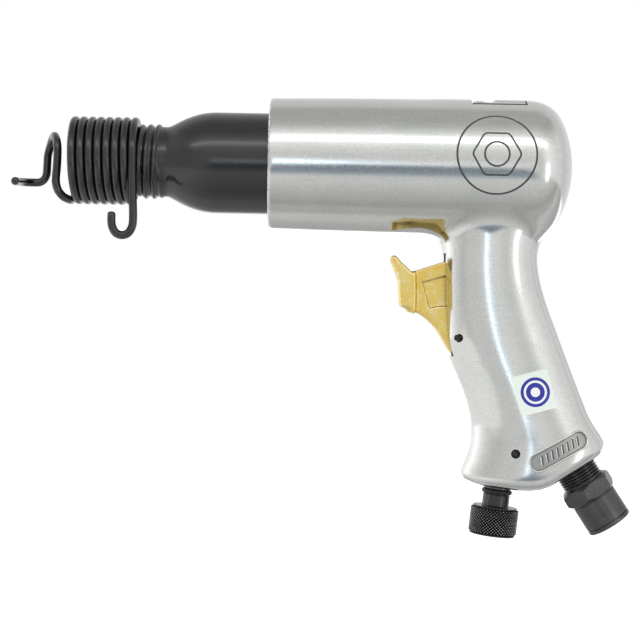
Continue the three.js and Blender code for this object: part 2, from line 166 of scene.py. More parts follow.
def turned(name, profile, mat=None, seg=96, origin=(0, 0, 0), axis=(1, 0, 0), ring=False, radius=None, angle=35.0):
    V, F, extra = lathe(profile, seg, origin, axis, ring, radius)
    ob = make(name, V, F, None, angle, extra)
    bm = bmesh.new()
    bm.from_mesh(ob.data)
    bmesh.ops.recalc_face_normals(bm, faces=bm.faces)
    bm.to_mesh(ob.data)
    bm.free()
    if mat is not None:
        ob.data.materials.append(mat)
    smooth(ob, angle)
    return ob


def round_profile(pts, radii, steps=4):
    """Rounds the corners of an open profile; radii has one number for each point."""
    pts = [np.asarray(p, float) for p in pts]
    out = [pts[0]]
    for k in range(1, len(pts) - 1):
        r = radii[k]
        a, b, c = pts[k - 1], pts[k], pts[k + 1]
        if r <= 0:
            out.append(b)
            continue
        u, v = a - b, c - b
        lu, lv = np.linalg.norm(u), np.linalg.norm(v)
        u, v = u / lu, v / lv
        r = min(r, 0.48 * lu, 0.48 * lv)
        p0, p2 = b + u * r, b + v * r
        for t in np.linspace(0, 1, steps + 1):
            out.append((1 - t) ** 2 * p0 + 2 * t * (1 - t) * b + t * t * p2)
    out.append(pts[-1])
    return np.array(out)


def sweep(path, r, sides=16, closed=False, cap=3, turn=None):
    """Round wire along dense points."""
    path = np.asarray(path, float)
    n = len(path)
    if closed:
        t = np.roll(path, -1, 0) - np.roll(path, 1, 0)
    else:
        t = np.gradient(path, axis=0)
    t /= np.linalg.norm(t, axis=1)[:, None]
    nrm = np.zeros_like(path)
    ref = np.array([0.0, 0.0, 1.0]) if abs(t[0][2]) < 0.9 else np.array([0.0, 1.0, 0.0])
    v = ref - t[0] * ref.dot(t[0])
    nrm[0] = v / np.linalg.norm(v)
    for i in range(1, n):
        v = nrm[i - 1] - t[i] * nrm[i - 1].dot(t[i])
        nrm[i] = v / np.linalg.norm(v)
    bi = np.cross(t, nrm)
    if closed:
        # spread the closing twist over the loop
        v = nrm[-1] - t[0] * nrm[-1].dot(t[0])
        ang = math.atan2(np.cross(v, nrm[0]).dot(t[0]), v.dot(nrm[0]))
        w = np.linspace(0, 1, n, endpoint=False) * ang
        nrm, bi = (nrm * np.cos(w)[:, None] + bi * np.sin(w)[:, None],
                   bi * np.cos(w)[:, None] - nrm * np.sin(w)[:, None])
    rr = np.full(n, float(r)) if np.isscalar(r) else np.asarray(r, float)
    if not closed and cap:
        # domed ends
        a = np.linspace(0, math.pi / 2, cap + 2)[:-1]
        head = [(path[0] - t[0] * rr[0] * 0.75 * math.cos(x) , rr[0] * math.sin(x)) for x in a[1:]]
        tail = [(path[-1] + t[-1] * rr[-1] * 0.75 * math.cos(x), rr[-1] * math.sin(x)) for x in a[1:][::-1]]
        k = len(head)
        path = np.vstack([[h[0] for h in head], path, [x[0] for x in tail]])
        rr = np.concatenate([[h[1] for h in head], rr, [x[1] for x in tail]])
        nrm = np.vstack([np.repeat(nrm[:1], k, 0), nrm, np.repeat(nrm[-1:], k, 0)])
        bi = np.vstack([np.repeat(bi[:1], k, 0), bi, np.repeat(bi[-1:], k, 0)])
        n = len(path)
    ph = np.arange(sides) * 2 * math.pi / sides
    V = (path[:, None, :] + rr[:, None, None] * (np.cos(ph)[None, :, None] * nrm[:, None, :]
         + np.sin(ph)[None, :, None] * bi[:, None, :])).reshape(-1, 3)
    rows = n if closed else n - 1
    i = np.arange(rows)[:, None]
    j = np.arange(sides)[None, :]
    i2, j2 = (i + 1) % n, (j + 1) % sides
    F = np.stack([i * sides + j, i2 * sides + j, i2 * sides + j2, i * sides + j2], -1).reshape(-1, 4)
    extra = None if closed else [list(range(sides)), list(range((n - 1) * sides, n * sides))[::-1]]
    return V, F, extra


def catmull(pts, per=12):
    pts = np.asarray(pts, float)
    ext = np.vstack([2 * pts[0] - pts[1], pts, 2 * pts[-1] - pts[-2]])
    out = []
    for k in range(1, len(ext) - 2):
        p0, p1, p2, p3 = ext[k - 1], ext[k], ext[k + 1], ext[k + 2]
        for t in np.arange(per) / per:
            out.append(0.5 * ((2 * p1) + (p2 - p0) * t + (2 * p0 - 5 * p1 + 4 * p2 - p3) * t * t
                              + (3 * p1 - p0 - 3 * p2 + p3) * t ** 3))
    out.append(ext[-2])
    return np.array(out)


def resample(path, step):
    path = np.asarray(path, float)
    d = np.concatenate([[0], np.cumsum(np.linalg.norm(np.diff(path, axis=0), axis=1))])
    n = max(2, int(round(d[-1] / step)))
    s = np.linspace(0, d[-1], n + 1)
    return np.stack([np.interp(s, d, path[:, k]) for k in range(path.shape[1])], 1)


def gauss(a, sigma):
    """Smooths samples, holding both ends."""
    if sigma <= 0:
        return a
    k = int(4 * sigma) + 1
    w = np.exp(-0.5 * (np.arange(-k, k + 1) / sigma) ** 2)
    w /= w.sum()
    pad = np.concatenate([2 * a[0] - a[k:0:-1], a, 2 * a[-1] - a[-2:-k - 2:-1]])
    return np.convolve(pad, w, "valid")


# ------------------------------------------------- implicit surfaces and nets
def polygon_sdf(x, y, poly):
    """Signed distance to a closed polygon, negative inside."""
    x = np.asarray(x, float)
    y = np.asarray(y, float)
    best = np.full(x.shape, 1e9)
    inside = np.zeros(x.shape, bool)
    q = np.asarray(poly, float)
    for (ax, ay), (bx, by) in zip(q, np.roll(q, -1, 0)):
        dx, dy = bx - ax, by - ay
        L = dx * dx + dy * dy
        if L < 1e-12:
            continue
        t = np.clip(((x - ax) * dx + (y - ay) * dy) / L, 0, 1)
        best = np.minimum(best, (x - ax - t * dx) ** 2 + (y - ay - t * dy) ** 2)
        cond = (ay > y) != (by > y)
        xc = ax + (y - ay) * dx / (dy if abs(dy) > 1e-12 else 1e-12)
        inside ^= cond & (x < xc)
    d = np.sqrt(best)
    return np.where(inside, -d, d)


class Table2D:
    """A function of two coordinates, sampled once and read back bilinearly."""

    def __init__(self, fn, lo, hi, h):
        self.lo, self.h = np.asarray(lo, float), h
        self.n = [int(math.ceil((hi[k] - lo[k]) / h)) + 1 for k in range(2)]
        A, B = np.meshgrid(lo[0] + h * np.arange(self.n[0]), lo[1] + h * np.arange(self.n[1]), indexing="ij")
        self.T = fn(A, B)

    def __call__(self, a, b):
        u = np.clip((a - self.lo[0]) / self.h, 0, self.n[0] - 1.001)
        v = np.clip((b - self.lo[1]) / self.h, 0, self.n[1] - 1.001)
        i, j = u.astype(int), v.astype(int)
        u, v = u - i, v - j
        T = self.T
        return ((T[i, j] * (1 - u) + T[i + 1, j] * u) * (1 - v)
                + (T[i, j + 1] * (1 - u) + T[i + 1, j + 1] * u) * v)


def smin(a, b, k):
    h = np.maximum(k - np.abs(a - b), 0.0) / k
    return np.minimum(a, b) - h * h * h * k / 6.0


def smax(a, b, k):
    return -smin(-a, -b, k)


def net(f, lo, hi, h, relax=3):
    """Quad mesh of f = 0 by surface nets, then moved exactly onto the surface."""
    lo, hi = np.asarray(lo, float), np.asarray(hi, float)
    n = np.ceil((hi - lo) / h).astype(int) + 1
    xs = [lo[k] + h * np.arange(n[k]) for k in range(3)]
    Fg = np.empty(n, np.float32)
    Y, Z = np.meshgrid(xs[1], xs[2], indexing="ij")
    step = 12
    for i in range(0, n[0], step):
        X = xs[0][i:i + step]
        Fg[i:i + step] = f(np.broadcast_to(X[:, None, None], (len(X),) + Y.shape), Y[None], Z[None])
    ins = Fg < 0
    cnt = np.zeros(n - 1, np.int8)
    for a in (0, 1):
        for b in (0, 1):
            for c in (0, 1):
                cnt += ins[a:n[0] - 1 + a, b:n[1] - 1 + b, c:n[2] - 1 + c]
    act = (cnt > 0) & (cnt < 8)
    ids = np.full(n - 1, -1, np.int64)
    I = np.argwhere(act)
    ids[act] = np.arange(len(I))
    corner = {}
    for a in (0, 1):
        for b in (0, 1):
            for c in (0, 1):
                corner[a, b, c] = Fg[I[:, 0] + a, I[:, 1] + b, I[:, 2] + c].astype(float)
    acc = np.zeros((len(I), 3))
    num = np.zeros(len(I))
    keys = list(corner)
    for p in keys:
        for q in keys:
            if sum(abs(p[k] - q[k]) for k in range(3)) != 1 or p > q:
                continue
            fa, fb = corner[p], corner[q]
            m = (fa < 0) != (fb < 0)
            t = np.where(m, fa / np.where(m, fa - fb, 1), 0)
            pt = np.array(p)[None] + t[:, None] * (np.array(q) - np.array(p))[None]
            acc[m] += pt[m]
            num[m] += 1
    V = lo + h * (I + acc / num[:, None])
    quads = []
    for ax in range(3):
        b, c = (ax + 1) % 3, (ax + 2) % 3
        s0 = [slice(None)] * 3
        s1 = [slice(None)] * 3
        s0[ax], s1[ax] = slice(0, n[ax] - 1), slice(1, n[ax])
        A, B = ins[tuple(s0)], ins[tuple(s1)]
        E = np.argwhere(A != B)
        E = E[(E[:, b] > 0) & (E[:, b] < n[b] - 1) & (E[:, c] > 0) & (E[:, c] < n[c] - 1)]
        up = A[tuple(E.T)]
        ring = []
        for db, dc in ((-1, -1), (0, -1), (0, 0), (-1, 0)):
            q = E.copy()
            q[:, b] += db
            q[:, c] += dc
            ring.append(ids[tuple(q.T)])
        q = np.stack(ring, 1)
        q[~up] = q[~up][:, ::-1]
        quads.append(q)
    Q = np.concatenate(quads)

    def project(V, times):
        e = h * 0.15
        for _ in range(times):
            x, y, z = V.T
            v = f(x, y, z)
            g = np.stack([f(x + e, y, z) - f(x - e, y, z), f(x, y + e, z) - f(x, y - e, z),
                          f(x, y, z + e) - f(x, y, z - e)], 1) / (2 * e)
            V = V - (v / np.maximum((g * g).sum(1), 1e-6))[:, None] * g
        return V

    V = project(V, 2)
    e0 = np.concatenate([Q[:, 0], Q[:, 1], Q[:, 2], Q[:, 3]])
    e1 = np.concatenate([Q[:, 1], Q[:, 2], Q[:, 3], Q[:, 0]])
    deg = np.bincount(e0, minlength=len(V)) + np.bincount(e1, minlength=len(V))
    for _ in range(relax):
        S = np.stack([np.bincount(e0, V[e1, k], len(V)) + np.bincount(e1, V[e0, k], len(V)) for k in range(3)], 1)
        V = project(0.4 * V + 0.6 * S / np.maximum(deg, 1)[:, None], 1)
    V = project(V, 1)
    return V, Q


# ------------------------------------------------------------------ materials
def nodes_of(name):
    m = bpy.data.materials.new(name)
    m.use_nodes = True
    nt = m.node_tree
    return m, nt, nt.nodes["Principled BSDF"]


def add_node(nt, kind, **inputs):
    n = nt.nodes.new(kind)
    for k, v in inputs.items():
        key = k.replace("_", " ")
        if key in n.inputs:
            n.inputs[key].default_value = v
        else:
            setattr(n, k, v)
    return n


def noise(nt, scale, detail=4.0, rough=0.55, stretch=None):
    tc = nt.nodes.new("ShaderNodeTexCoord")
    mp = nt.nodes.new("ShaderNodeMapping")
    if stretch:
        mp.inputs["Scale"].default_value = stretch
    nt.links.new(tc.outputs["Object"], mp.inputs["Vector"])
    n = nt.nodes.new("ShaderNodeTexNoise")
    n.inputs["Scale"].default_value = scale
    n.inputs["Detail"].default_value = detail
    n.inputs["Roughness"].default_value = rough
    nt.links.new(mp.outputs["Vector"], n.inputs["Vector"])
    return n.outputs["Fac"]


def ramp(nt, fac, stops):
    r = nt.nodes.new("ShaderNodeValToRGB")
    e = r.color_ramp.elements
    while len(e) < len(stops):
        e.new(0.5)
    for el, (pos, col) in zip(e, stops):
        el.position = pos
        el.color = (*col, 1.0) if len(col) == 3 else col
    nt.links.new(fac, r.inputs["Fac"])
    return r.outputs["Color"]


def span(nt, fac, a, b, lo=0.3, hi=0.7):
    r = nt.nodes.new("ShaderNodeMapRange")
    r.inputs["From Min"].default_value = lo
    r.inputs["From Max"].default_value = hi
    r.inputs["To Min"].default_value = a
    r.inputs["To Max"].default_value = b
    nt.links.new(fac, r.inputs["Value"])
    return r.outputs["Result"]


def mix(nt, fac, a, b, kind="MIX"):
    m = nt.nodes.new("ShaderNodeMix")
    m.data_type = "RGBA"
    m.blend_type = kind
    for sock, val in ((m.inputs[0], fac), (m.inputs[6], a), (m.inputs[7], b)):
        if isinstance(val, bpy.types.NodeSocket):
            nt.links.new(val, sock)
        elif isinstance(val, (int, float)):
            sock.default_value = val
        else:
            sock.default_value = (*val, 1.0) if len(val) == 3 else val
    return m.outputs[2]


def bump(nt, heights, bsdf):
    """heights is [(socket, strength, distance in metres), ...]."""
    prev = None
    for h, s, d in heights:
        b = nt.nodes.new("ShaderNodeBump")
        b.inputs["Strength"].default_value = s
        b.inputs["Distance"].default_value = d
        nt.links.new(h, b.inputs["Height"])
        if prev is not None:
            nt.links.new(prev, b.inputs["Normal"])
        prev = b.outputs["Normal"]
    nt.links.new(prev, bsdf.inputs["Normal"])


def edges(nt, lo=0.5, hi=0.6):
    """0 on flats, 1 on outer edges."""
    g = nt.nodes.new("ShaderNodeNewGeometry")
    return span(nt, g.outputs["Pointiness"], 0.0, 1.0, lo, hi)


def times(nt, a, b):
    m = nt.nodes.new("ShaderNodeMath")
    m.operation = "MULTIPLY"
    for s, v in ((m.inputs[0], a), (m.inputs[1], b)):
        if isinstance(v, bpy.types.NodeSocket):
            nt.links.new(v, s)
        else:
            s.default_value = v
    return m.outputs[0]


def cast_aluminium(name="cast_aluminium_polished", dark=1.0, rough=(0.12, 0.19)):
    m, nt, b = nodes_of(name)
    broad = noise(nt, 60, 3)
    fine = noise(nt, 900, 4, 0.6)
    grain = noise(nt, 2600, 2, 0.6)
    streak = noise(nt, 420, 4, 0.65, (0.10, 1.0, 1.6))
    col = ramp(nt, broad, [(0.30, tuple(c * dark for c in (0.735, 0.755, 0.725))), (0.70, tuple(c * dark for c in (0.80, 0.80, 0.785)))])
    col = mix(nt, span(nt, grain, 0.0, 0.34, 0.44, 0.70), col, tuple(c * dark for c in (0.44, 0.46, 0.44)))
    col = mix(nt, span(nt, grain, 0.5, 0.0, 0.26, 0.42), col, tuple(c * dark for c in (0.97, 0.97, 0.95)))
    col = mix(nt, span(nt, streak, 0.0, 0.16, 0.45, 0.72), col, tuple(c * dark for c in (0.50, 0.52, 0.50)))
    # painted shade: concave spots (low pointiness) darkened toward dark grey, standing in for shade in crevices
    g = nt.nodes.new("ShaderNodeNewGeometry")
    painted_crevice_shade = span(nt, g.outputs["Pointiness"], 1.0, 0.0, 0.40, 0.485)
    col = mix(nt, times(nt, painted_crevice_shade, 0.75), col, tuple(c * dark for c in (0.20, 0.21, 0.20)))
    nt.links.new(col, b.inputs["Base Color"])
    b.inputs["Metallic"].default_value = 1.0
    nt.links.new(span(nt, fine, rough[0], rough[1]), b.inputs["Roughness"])
    bump(nt, [(streak, 0.10, 0.00002), (fine, 0.05, 0.00002), (grain, 0.10, 0.000012)], b)
    return m


def spots_src(nt):
    return noise(nt, 900, 3, 0.6)      # where the crests are lightened: rubbed wear with painted highlight


def black_oxide(name="black_oxide_steel", base=0.020, rough=(0.30, 0.42), wear=0.35, grain_dir=None, metallic=0.0, spec=0.62, knurled=False):
    m, nt, b = nodes_of(name)
    broad = noise(nt, 90, 4)
    fine = noise(nt, 1500, 4, 0.6, grain_dir)
    col = ramp(nt, broad, [(0.3, (base * 0.8, base * 0.8, base * 0.84)), (0.7, (base * 1.3, base * 1.3, base * 1.3))])
    spots = span(nt, noise(nt, 2600, 2), 0.0, 0.5, 0.60, 0.78)
    col = mix(nt, spots, col, (base * 3.0, base * 2.9, base * 2.7))
    worn = times(nt, edges(nt, 0.53, 0.62), span(nt, fine, 0.0, wear, 0.35, 0.6))
    col = mix(nt, worn, col, (0.22, 0.21, 0.20))
    if knurled:
        # painted shade: knurl valleys darkened to near black; crests lightened in random spots, partly rubbed wear,
        # partly painted highlight
        at = [nt.nodes.new("ShaderNodeAttribute") for _ in range(2)]
        at[0].attribute_name, at[1].attribute_name = "crest", "knurl_valley_shade"
        col = mix(nt, span(nt, at[1].outputs["Fac"], 0.0, 0.96, 0.15, 0.55), col, (0.003, 0.003, 0.003))
        col = mix(nt, times(nt, span(nt, at[0].outputs["Fac"], 0.0, 1.0, 0.72, 0.96), span(nt, spots_src(nt), 0.25, 0.95, 0.35, 0.62)), col, (0.46, 0.46, 0.45))
    nt.links.new(col, b.inputs["Base Color"])
    b.inputs["Metallic"].default_value = metallic
    b.inputs["Specular IOR Level"].default_value = spec
    nt.links.new(span(nt, fine, rough[0], rough[1]), b.inputs["Roughness"])
    bump(nt, [(fine, 0.10, 0.00004)], b)
    return m


def brass(name="yellow_brass"):
    m, nt, b = nodes_of(name)
    broad = noise(nt, 120, 4)
    fine = noise(nt, 1300, 5, 0.6)
    scratch = noise(nt, 700, 3, 0.7, (1.0, 1.0, 9.0))
    col = ramp(nt, broad, [(0.32, (0.90, 0.63, 0.14)), (0.68, (0.96, 0.74, 0.22))])
    # painted shade: concave spots (low pointiness) darkened toward dark brown, standing in for shade in crevices
    g = nt.nodes.new("ShaderNodeNewGeometry")
    painted_crevice_shade = span(nt, g.outputs["Pointiness"], 1.0, 0.0, 0.40, 0.485)
    col = mix(nt, times(nt, painted_crevice_shade, 0.75), col, (0.24, 0.16, 0.04))
    # painted highlights: near-white glints in random flecks, and near-white on outer edges
    painted_glints = span(nt, noise(nt, 1500, 3, 0.6), 0.0, 0.75, 0.53, 0.60)
    col = mix(nt, times(nt, painted_glints, span(nt, broad, 0.15, 1.0, 0.45, 0.62)), col, (1.0, 0.95, 0.78))
    col = mix(nt, times(nt, edges(nt, 0.515, 0.56), 0.8), col, (1.0, 0.93, 0.70))
    # painted shade: faces turned upward (object-space normal Z) darkened toward dark brown
    tc = nt.nodes.new("ShaderNodeTexCoord")
    sep = nt.nodes.new("ShaderNodeSeparateXYZ")
    nt.links.new(tc.outputs["Normal"], sep.inputs["Vector"])
    col = mix(nt, span(nt, sep.outputs["Z"], 0.0, 0.72, 0.55, 0.85), col, (0.16, 0.12, 0.05))
    nt.links.new(col, b.inputs["Base Color"])
    b.inputs["Metallic"].default_value = 1.0
    nt.links.new(span(nt, fine, 0.34, 0.52), b.inputs["Roughness"])
    bump(nt, [(fine, 0.14, 0.00006), (scratch, 0.08, 0.00004)], b)
    return m


def steel(name, col=(0.60, 0.61, 0.62), rough=(0.18, 0.30), stretch=(1.0, 12.0, 12.0)):
    m, nt, b = nodes_of(name)
    lines = noise(nt, 1200, 3, 0.6, stretch)
    c = ramp(nt, lines, [(0.3, tuple(x * 0.86 for x in col)), (0.7, col)])
    nt.links.new(c, b.inputs["Base Color"])
    b.inputs["Metallic"].default_value = 1.0
    nt.links.new(span(nt, lines, rough[0], rough[1]), b.inputs["Roughness"])
    bump(nt, [(lines, 0.08, 0.00003)], b)
    return m


def rubber(name="seal_rubber"):
    m, nt, b = nodes_of(name)
    fine = noise(nt, 2200, 4, 0.6)
    nt.links.new(ramp(nt, fine, [(0.3, (0.010, 0.010, 0.010)), (0.7, (0.018, 0.018, 0.018))]), b.inputs["Base Color"])
    nt.links.new(span(nt, fine, 0.42, 0.6), b.inputs["Roughness"])
    bump(nt, [(fine, 0.2, 0.00003)], b)
    return m


def film(name, col, rough=0.42):
    m, nt, b = nodes_of(name)
    fine = noise(nt, 1500, 3, 0.5)
    nt.links.new(ramp(nt, fine, [(0.35, tuple(c * 0.97 for c in col)), (0.65, col)]), b.inputs["Base Color"])
    nt.links.new(span(nt, fine, rough - 0.05, rough + 0.05), b.inputs["Roughness"])
    b.inputs["Coat Weight"].default_value = 0.25
    b.inputs["Coat Roughness"].default_value = 0.25
    bump(nt, [(fine, 0.06, 0.00003)], b)
    return m


MAT = {
    "cast": cast_aluminium(),
    # painted shade: recess and groove are darkened copies of the cast aluminium for sunk faces; their rougher finish is
    # the metal's own
    "recess": cast_aluminium("cast_aluminium_recess_painted_shade", 0.62, (0.36, 0.5)),
    "plate": cast_aluminium("cast_aluminium_plate", 0.70, (0.20, 0.32)),
    "groove": cast_aluminium("cast_aluminium_groove_painted_shade", 0.20, (0.36, 0.5)),
    "barrel": black_oxide("black_oxide_barrel", 0.0045, (0.13, 0.24), 0.25, None, 0.0, 0.85),
    "wire": black_oxide("black_oxide_wire", 0.0035, (0.13, 0.27), 0.6, None, 0.0, 0.80),
    "knob": black_oxide("black_oxide_knob", 0.065, (0.18, 0.30), 1.0, None, 0.8, 0.9, True),
    "inlet": black_oxide("black_oxide_inlet", 0.085, (0.20, 0.32), 0.5, None, 0.85, 0.8),
    "pin": black_oxide("black_oxide_pin", 0.035, (0.25, 0.35), 0.6, None, 0.7),
    "brass": brass(),
    "machined": steel("machined_steel", (0.42, 0.43, 0.44), (0.28, 0.4)),
    "bright": steel("bright_steel"),
    "zinc": steel("zinc_plated_steel", (0.52, 0.56, 0.62), (0.2, 0.32), (1.0, 1.0, 1.0)),
    "rubber": rubber(),
    "label": film("label_film_pale", (0.72, 0.79, 0.735)),
    "blue": film("label_ink_blue", (0.012, 0.014, 0.31)),
    "white": film("label_ink_white", (0.80, 0.82, 0.82)),
}

# -------------------------------------------------------------------- camera
SCALE = 0.364e-3                       # metres for each of the 640 columns, at the middle plane
DIST = 0.580
THETA, PSI = math.radians(1.2), math.radians(0.9)
target = Vector(P((19.385, 0.0, -56.39)))
F_dir = Vector((-math.sin(PSI), math.cos(PSI), 0.0))
R0 = Vector((math.cos(PSI), math.sin(PSI), 0.0))
U0 = Vector((0.0, 0.0, 1.0))
R_dir = R0 * math.cos(THETA) + U0 * math.sin(THETA)
U_dir = U0 * math.cos(THETA) - R0 * math.sin(THETA)
cam_data = bpy.data.cameras.new("camera")
cam = bpy.data.objects.new("camera", cam_data)
bpy.context.scene.collection.objects.link(cam)
rot = Matrix((R_dir, U_dir, -F_dir)).transposed()
cam.matrix_world = Matrix.Translation(target - F_dir * DIST) @ rot.to_4x4()
cam_data.sensor_width = 36.0
cam_data.lens = 18.0 / (320 * SCALE / DIST)
cam_data.clip_start = 0.02
cam_data.clip_end = 20.0
bpy.context.scene.camera = cam

# ------------------------------------------------------------------- housing
ZS = np.arange(-130.0, 2.0, 0.1)


def curve_of(knots, sigma=18.0):
    k = np.array(sorted(knots), float)
    return gauss(np.interp(ZS, k[:, 0], k[:, 1]), sigma)


FRONT = curve_of([(0, 63.4), (-20, 63.5), (-30, 63.6), (-33, 63.5), (-38, 63.5), (-46.7, 63.8), (-56.2, 64.2), (-62, 64.65),
                  (-66.5, 65.6), (-69.5, 66.9), (-72.1, 67.8), (-76.4, 69.7), (-80.8, 71.6), (-85.1, 73.2), (-89.5, 74.5),
                  (-93, 75.1), (-98.2, 75.2), (-102.6, 74.5), (-106, 73.2), (-109.2, 71.7), (-112, 70.8), (-130, 70.0)], 11.0)
REAR = curve_of([(0, 99.3), (-16, 98.6), (-24, 98.0), (-28.5, 97.7), (-32.2, 97.5), (-36.5, 97.9), (-40.9, 98.8),
                 (-45.2, 99.95), (-49.6, 101.5), (-53.9, 103.1), (-58.2, 104.9), (-62.6, 106.5), (-66.9, 108.35),
                 (-71.2, 110.0), (-75.6, 111.8), (-79.9, 113.5), (-84.2, 115.3), (-88.6, 117.0), (-92.9, 119.6),
                 (-97.2, 122.7), (-100.5, 124.6), (-104, 125.6), (-130, 130)])
HALF = curve_of([(0, 15.6), (-20, 15.6), (-30, 15.4), (-40, 15.2), (-50, 15.2), (-66, 15.45), (-80, 16.0),
                 (-92, 16.6), (-104, 16.9), (-130, 17.0)], 40.0)
XC, AA = (FRONT + REAR) / 2, (REAR - FRONT) / 2
dXC, dAA, dHALF = np.gradient(XC, 0.1), np.gradient(AA, 0.1), np.gradient(HALF, 0.1)
TAB = np.stack([XC, AA, HALF, dXC, dAA, dHALF], 1)


def sections(z):
    u = np.clip((z - ZS[0]) / 0.1, 0, len(ZS) - 1.001)
    i = u.astype(int)
    t = u - i
    return [TAB[i, k] * (1 - t) + TAB[i + 1, k] * t for k in range(6)]


def f_grip(x, y, z):
    xc, A, B, dxc, dA, dB = sections(z)
    u = (x - xc) / A
    v = np.abs(y) / B
    au = np.abs(u)
    n = 2.22 + 0.10 * np.tanh(u * 2.5) + 0.34 * np.clip(-u * 1.6, 0, 1) * np.clip((z + 66) / 16, 0, 1)
    g = np.maximum(au ** n + v ** n, 1e-9) ** (1 / n)
    k = g ** (1 - n)
    gx = np.sign(u) * au ** (n - 1) * k / A
    gy = v ** (n - 1) * k / B
    gz = -gx * (dxc + u * dA) - gy * v * dB
    return (g - 1) / np.sqrt(gx * gx + gy * gy + gz * gz + 1e-9)


DOME = [(24.48, 92.4), (24.33, 95.2), (23.75, 97.9), (22.35, 100.9), (20.37, 103.34), (18.22, 104.84), (16.05, 105.98),
        (13.89, 106.85), (11.72, 107.6), (9.55, 108.25), (7.37, 108.72), (5.2, 109.03), (3.0, 109.25), (0.0, 109.4)]
body = [(0, 23.75), (14, 24.03), (30, 24.27), (50, 24.42), (80, 24.48), (93.0, 24.48)]
bx = np.arange(0.0, 92.0, 0.5)
br = gauss(np.interp(bx, [p[0] for p in body], [p[1] for p in body]), 10)
dm = catmull([(x, r) for r, x in DOME], 8)
half = np.vstack([np.stack([bx, br], 1), dm])
half = np.stack([gauss(half[:, 0], 0.0), half[:, 1]], 1)
dome_full = np.vstack([half[half[:, 0] >= 80], (half[half[:, 0] >= 80] * [1, -1])[::-1][1:]])
dome_full = resample(dome_full, 0.4)
dome_s = np.stack([gauss(dome_full[:, 0], 4.0), gauss(dome_full[:, 1], 4.0)], 1)
nose_corner = round_profile([(0, 0), (0, 23.75), (6, 23.87)], [0, 1.25, 0], 6)
top = np.vstack([nose_corner, half[(half[:, 0] > 6.2) & (half[:, 0] < 81)], dome_s[dome_s[:, 1] > 0.2]])
top = top[np.concatenate([[True], np.linalg.norm(np.diff(top, axis=0), axis=1) > 1e-4])]
loop2d = np.vstack([top, [(109.4, 0.0)], (top[::-1] * [1, -1])])
SHROUD = Table2D(lambda a, b: polygon_sdf(a, b, loop2d), (-6.0, -1.0), (122.0, 36.0), 0.33)

FOOT = [(40, 10), (140, 10), (140, -89.9), (121.6, -102.4), (105.6, -112.0), (103.0, -113.7), (99.5, -115.05),
        (95.5, -115.6), (90.5, -115.6), (79.6, -114.7), (70.5, -112.6), (40, -104)]
foot_pts = resample(np.vstack([FOOT, FOOT[:1]]), 0.8)
FOOT_T = Table2D(lambda a, b: polygon_sdf(a, b, np.array(FOOT)), (46.0, -124.0), (132.0, 16.0), 0.4)


def f_housing(x, y, z):
    x, y, z = np.broadcast_arrays(x, y, z)
    s = SHROUD(x, np.sqrt(y * y + z * z))
    g = f_grip(x, y, z)
    g = smax(g, FOOT_T(x, z), 6.5)
    # soft line where the side meets the back strap
    xc, A, B, *_ = sections(z)
    line = (xc + A - x) - 1.75
    band = np.clip((-z - 25.0) / 6.0, 0, 1) * np.clip((z + 109.0) / 5.0, 0, 1)
    g = g + 0.30 * band * np.exp(-(line / 0.55) ** 2)
    return smin(s, g, 6.0 + 5.0 * np.exp(-(y / 12.0) ** 4))


def surf_y(x, z, depth=0.0, side=-1):
    """Y of the housing's surface over points (x, z), sunk by depth."""
    x, z = np.asarray(x, float), np.asarray(z, float)
    a, b = np.zeros_like(x), np.full_like(x, 32.0)
    for _ in range(36):
        m = (a + b) / 2
        ins = f_housing(x, m, z) < -depth
        a, b = np.where(ins, m, a), np.where(ins, b, m)
    return side * (a + b) / 2


HV, HQ = net(f_housing, (-1.5, -26.5, -119.5), (127.5, 26.5, 26.5), 0.66, 3)
housing = make("housing_casting", HV, HQ, None, 180, fix=False)

cutters = []


def cyl(a, b, r, seg=64, r2=None):
    a, b = np.asarray(a, float), np.asarray(b, float)
    L = float(np.linalg.norm(b - a))
    V, F, extra = lathe([(0, r), (L, r if r2 is None else r2)], seg, a, b - a)
    ob = make("cutter", V, F, None, 180, extra)
    bm = bmesh.new()
    bm.from_mesh(ob.data)
    bmesh.ops.recalc_face_normals(bm, faces=bm.faces)
    bm.to_mesh(ob.data)
    bm.free()
    return ob


def cut_turned(profile, seg, origin=(0, 0, 0), axis=(1, 0, 0)):
    return turned("cutter", profile, None, seg, origin, axis)


def cut_block(x0, x1, y0, y1, z0, z1):
    V = [(x, y, z) for x in (x0, x1) for y in (y0, y1) for z in (z0, z1)]
    F = [(0, 1, 3, 2), (4, 6, 7, 5), (0, 4, 5, 1), (2, 3, 7, 6), (0, 2, 6, 4), (1, 5, 7, 3)]
    ob = make("cutter", V, F, None, 180)
    bm = bmesh.new()
    bm.from_mesh(ob.data)
    bmesh.ops.recalc_face_normals(bm, faces=bm.faces)
    bm.to_mesh(ob.data)
    bm.free()
    return ob


def prism(name, outline, y0, y1, mat=None, angle=30):
    """XZ outline between two Y planes."""
    o = np.asarray(outline, float)
    n = len(o)
    V = np.vstack([np.stack([o[:, 0], np.full(n, y0), o[:, 1]], 1), np.stack([o[:, 0], np.full(n, y1), o[:, 1]], 1)])
    i = np.arange(n)
    F = np.stack([i, (i + 1) % n, (i + 1) % n + n, i + n], 1)
    ob = make(name, V, F, mat, angle, [list(range(n))[::-1], list(range(n, 2 * n))], fix=False)
    bm = bmesh.new()
    bm.from_mesh(ob.data)
    bmesh.ops.recalc_face_normals(bm, faces=bm.faces)
    bm.to_mesh(ob.data)
    bm.free()
    smooth(ob, angle)
    return ob


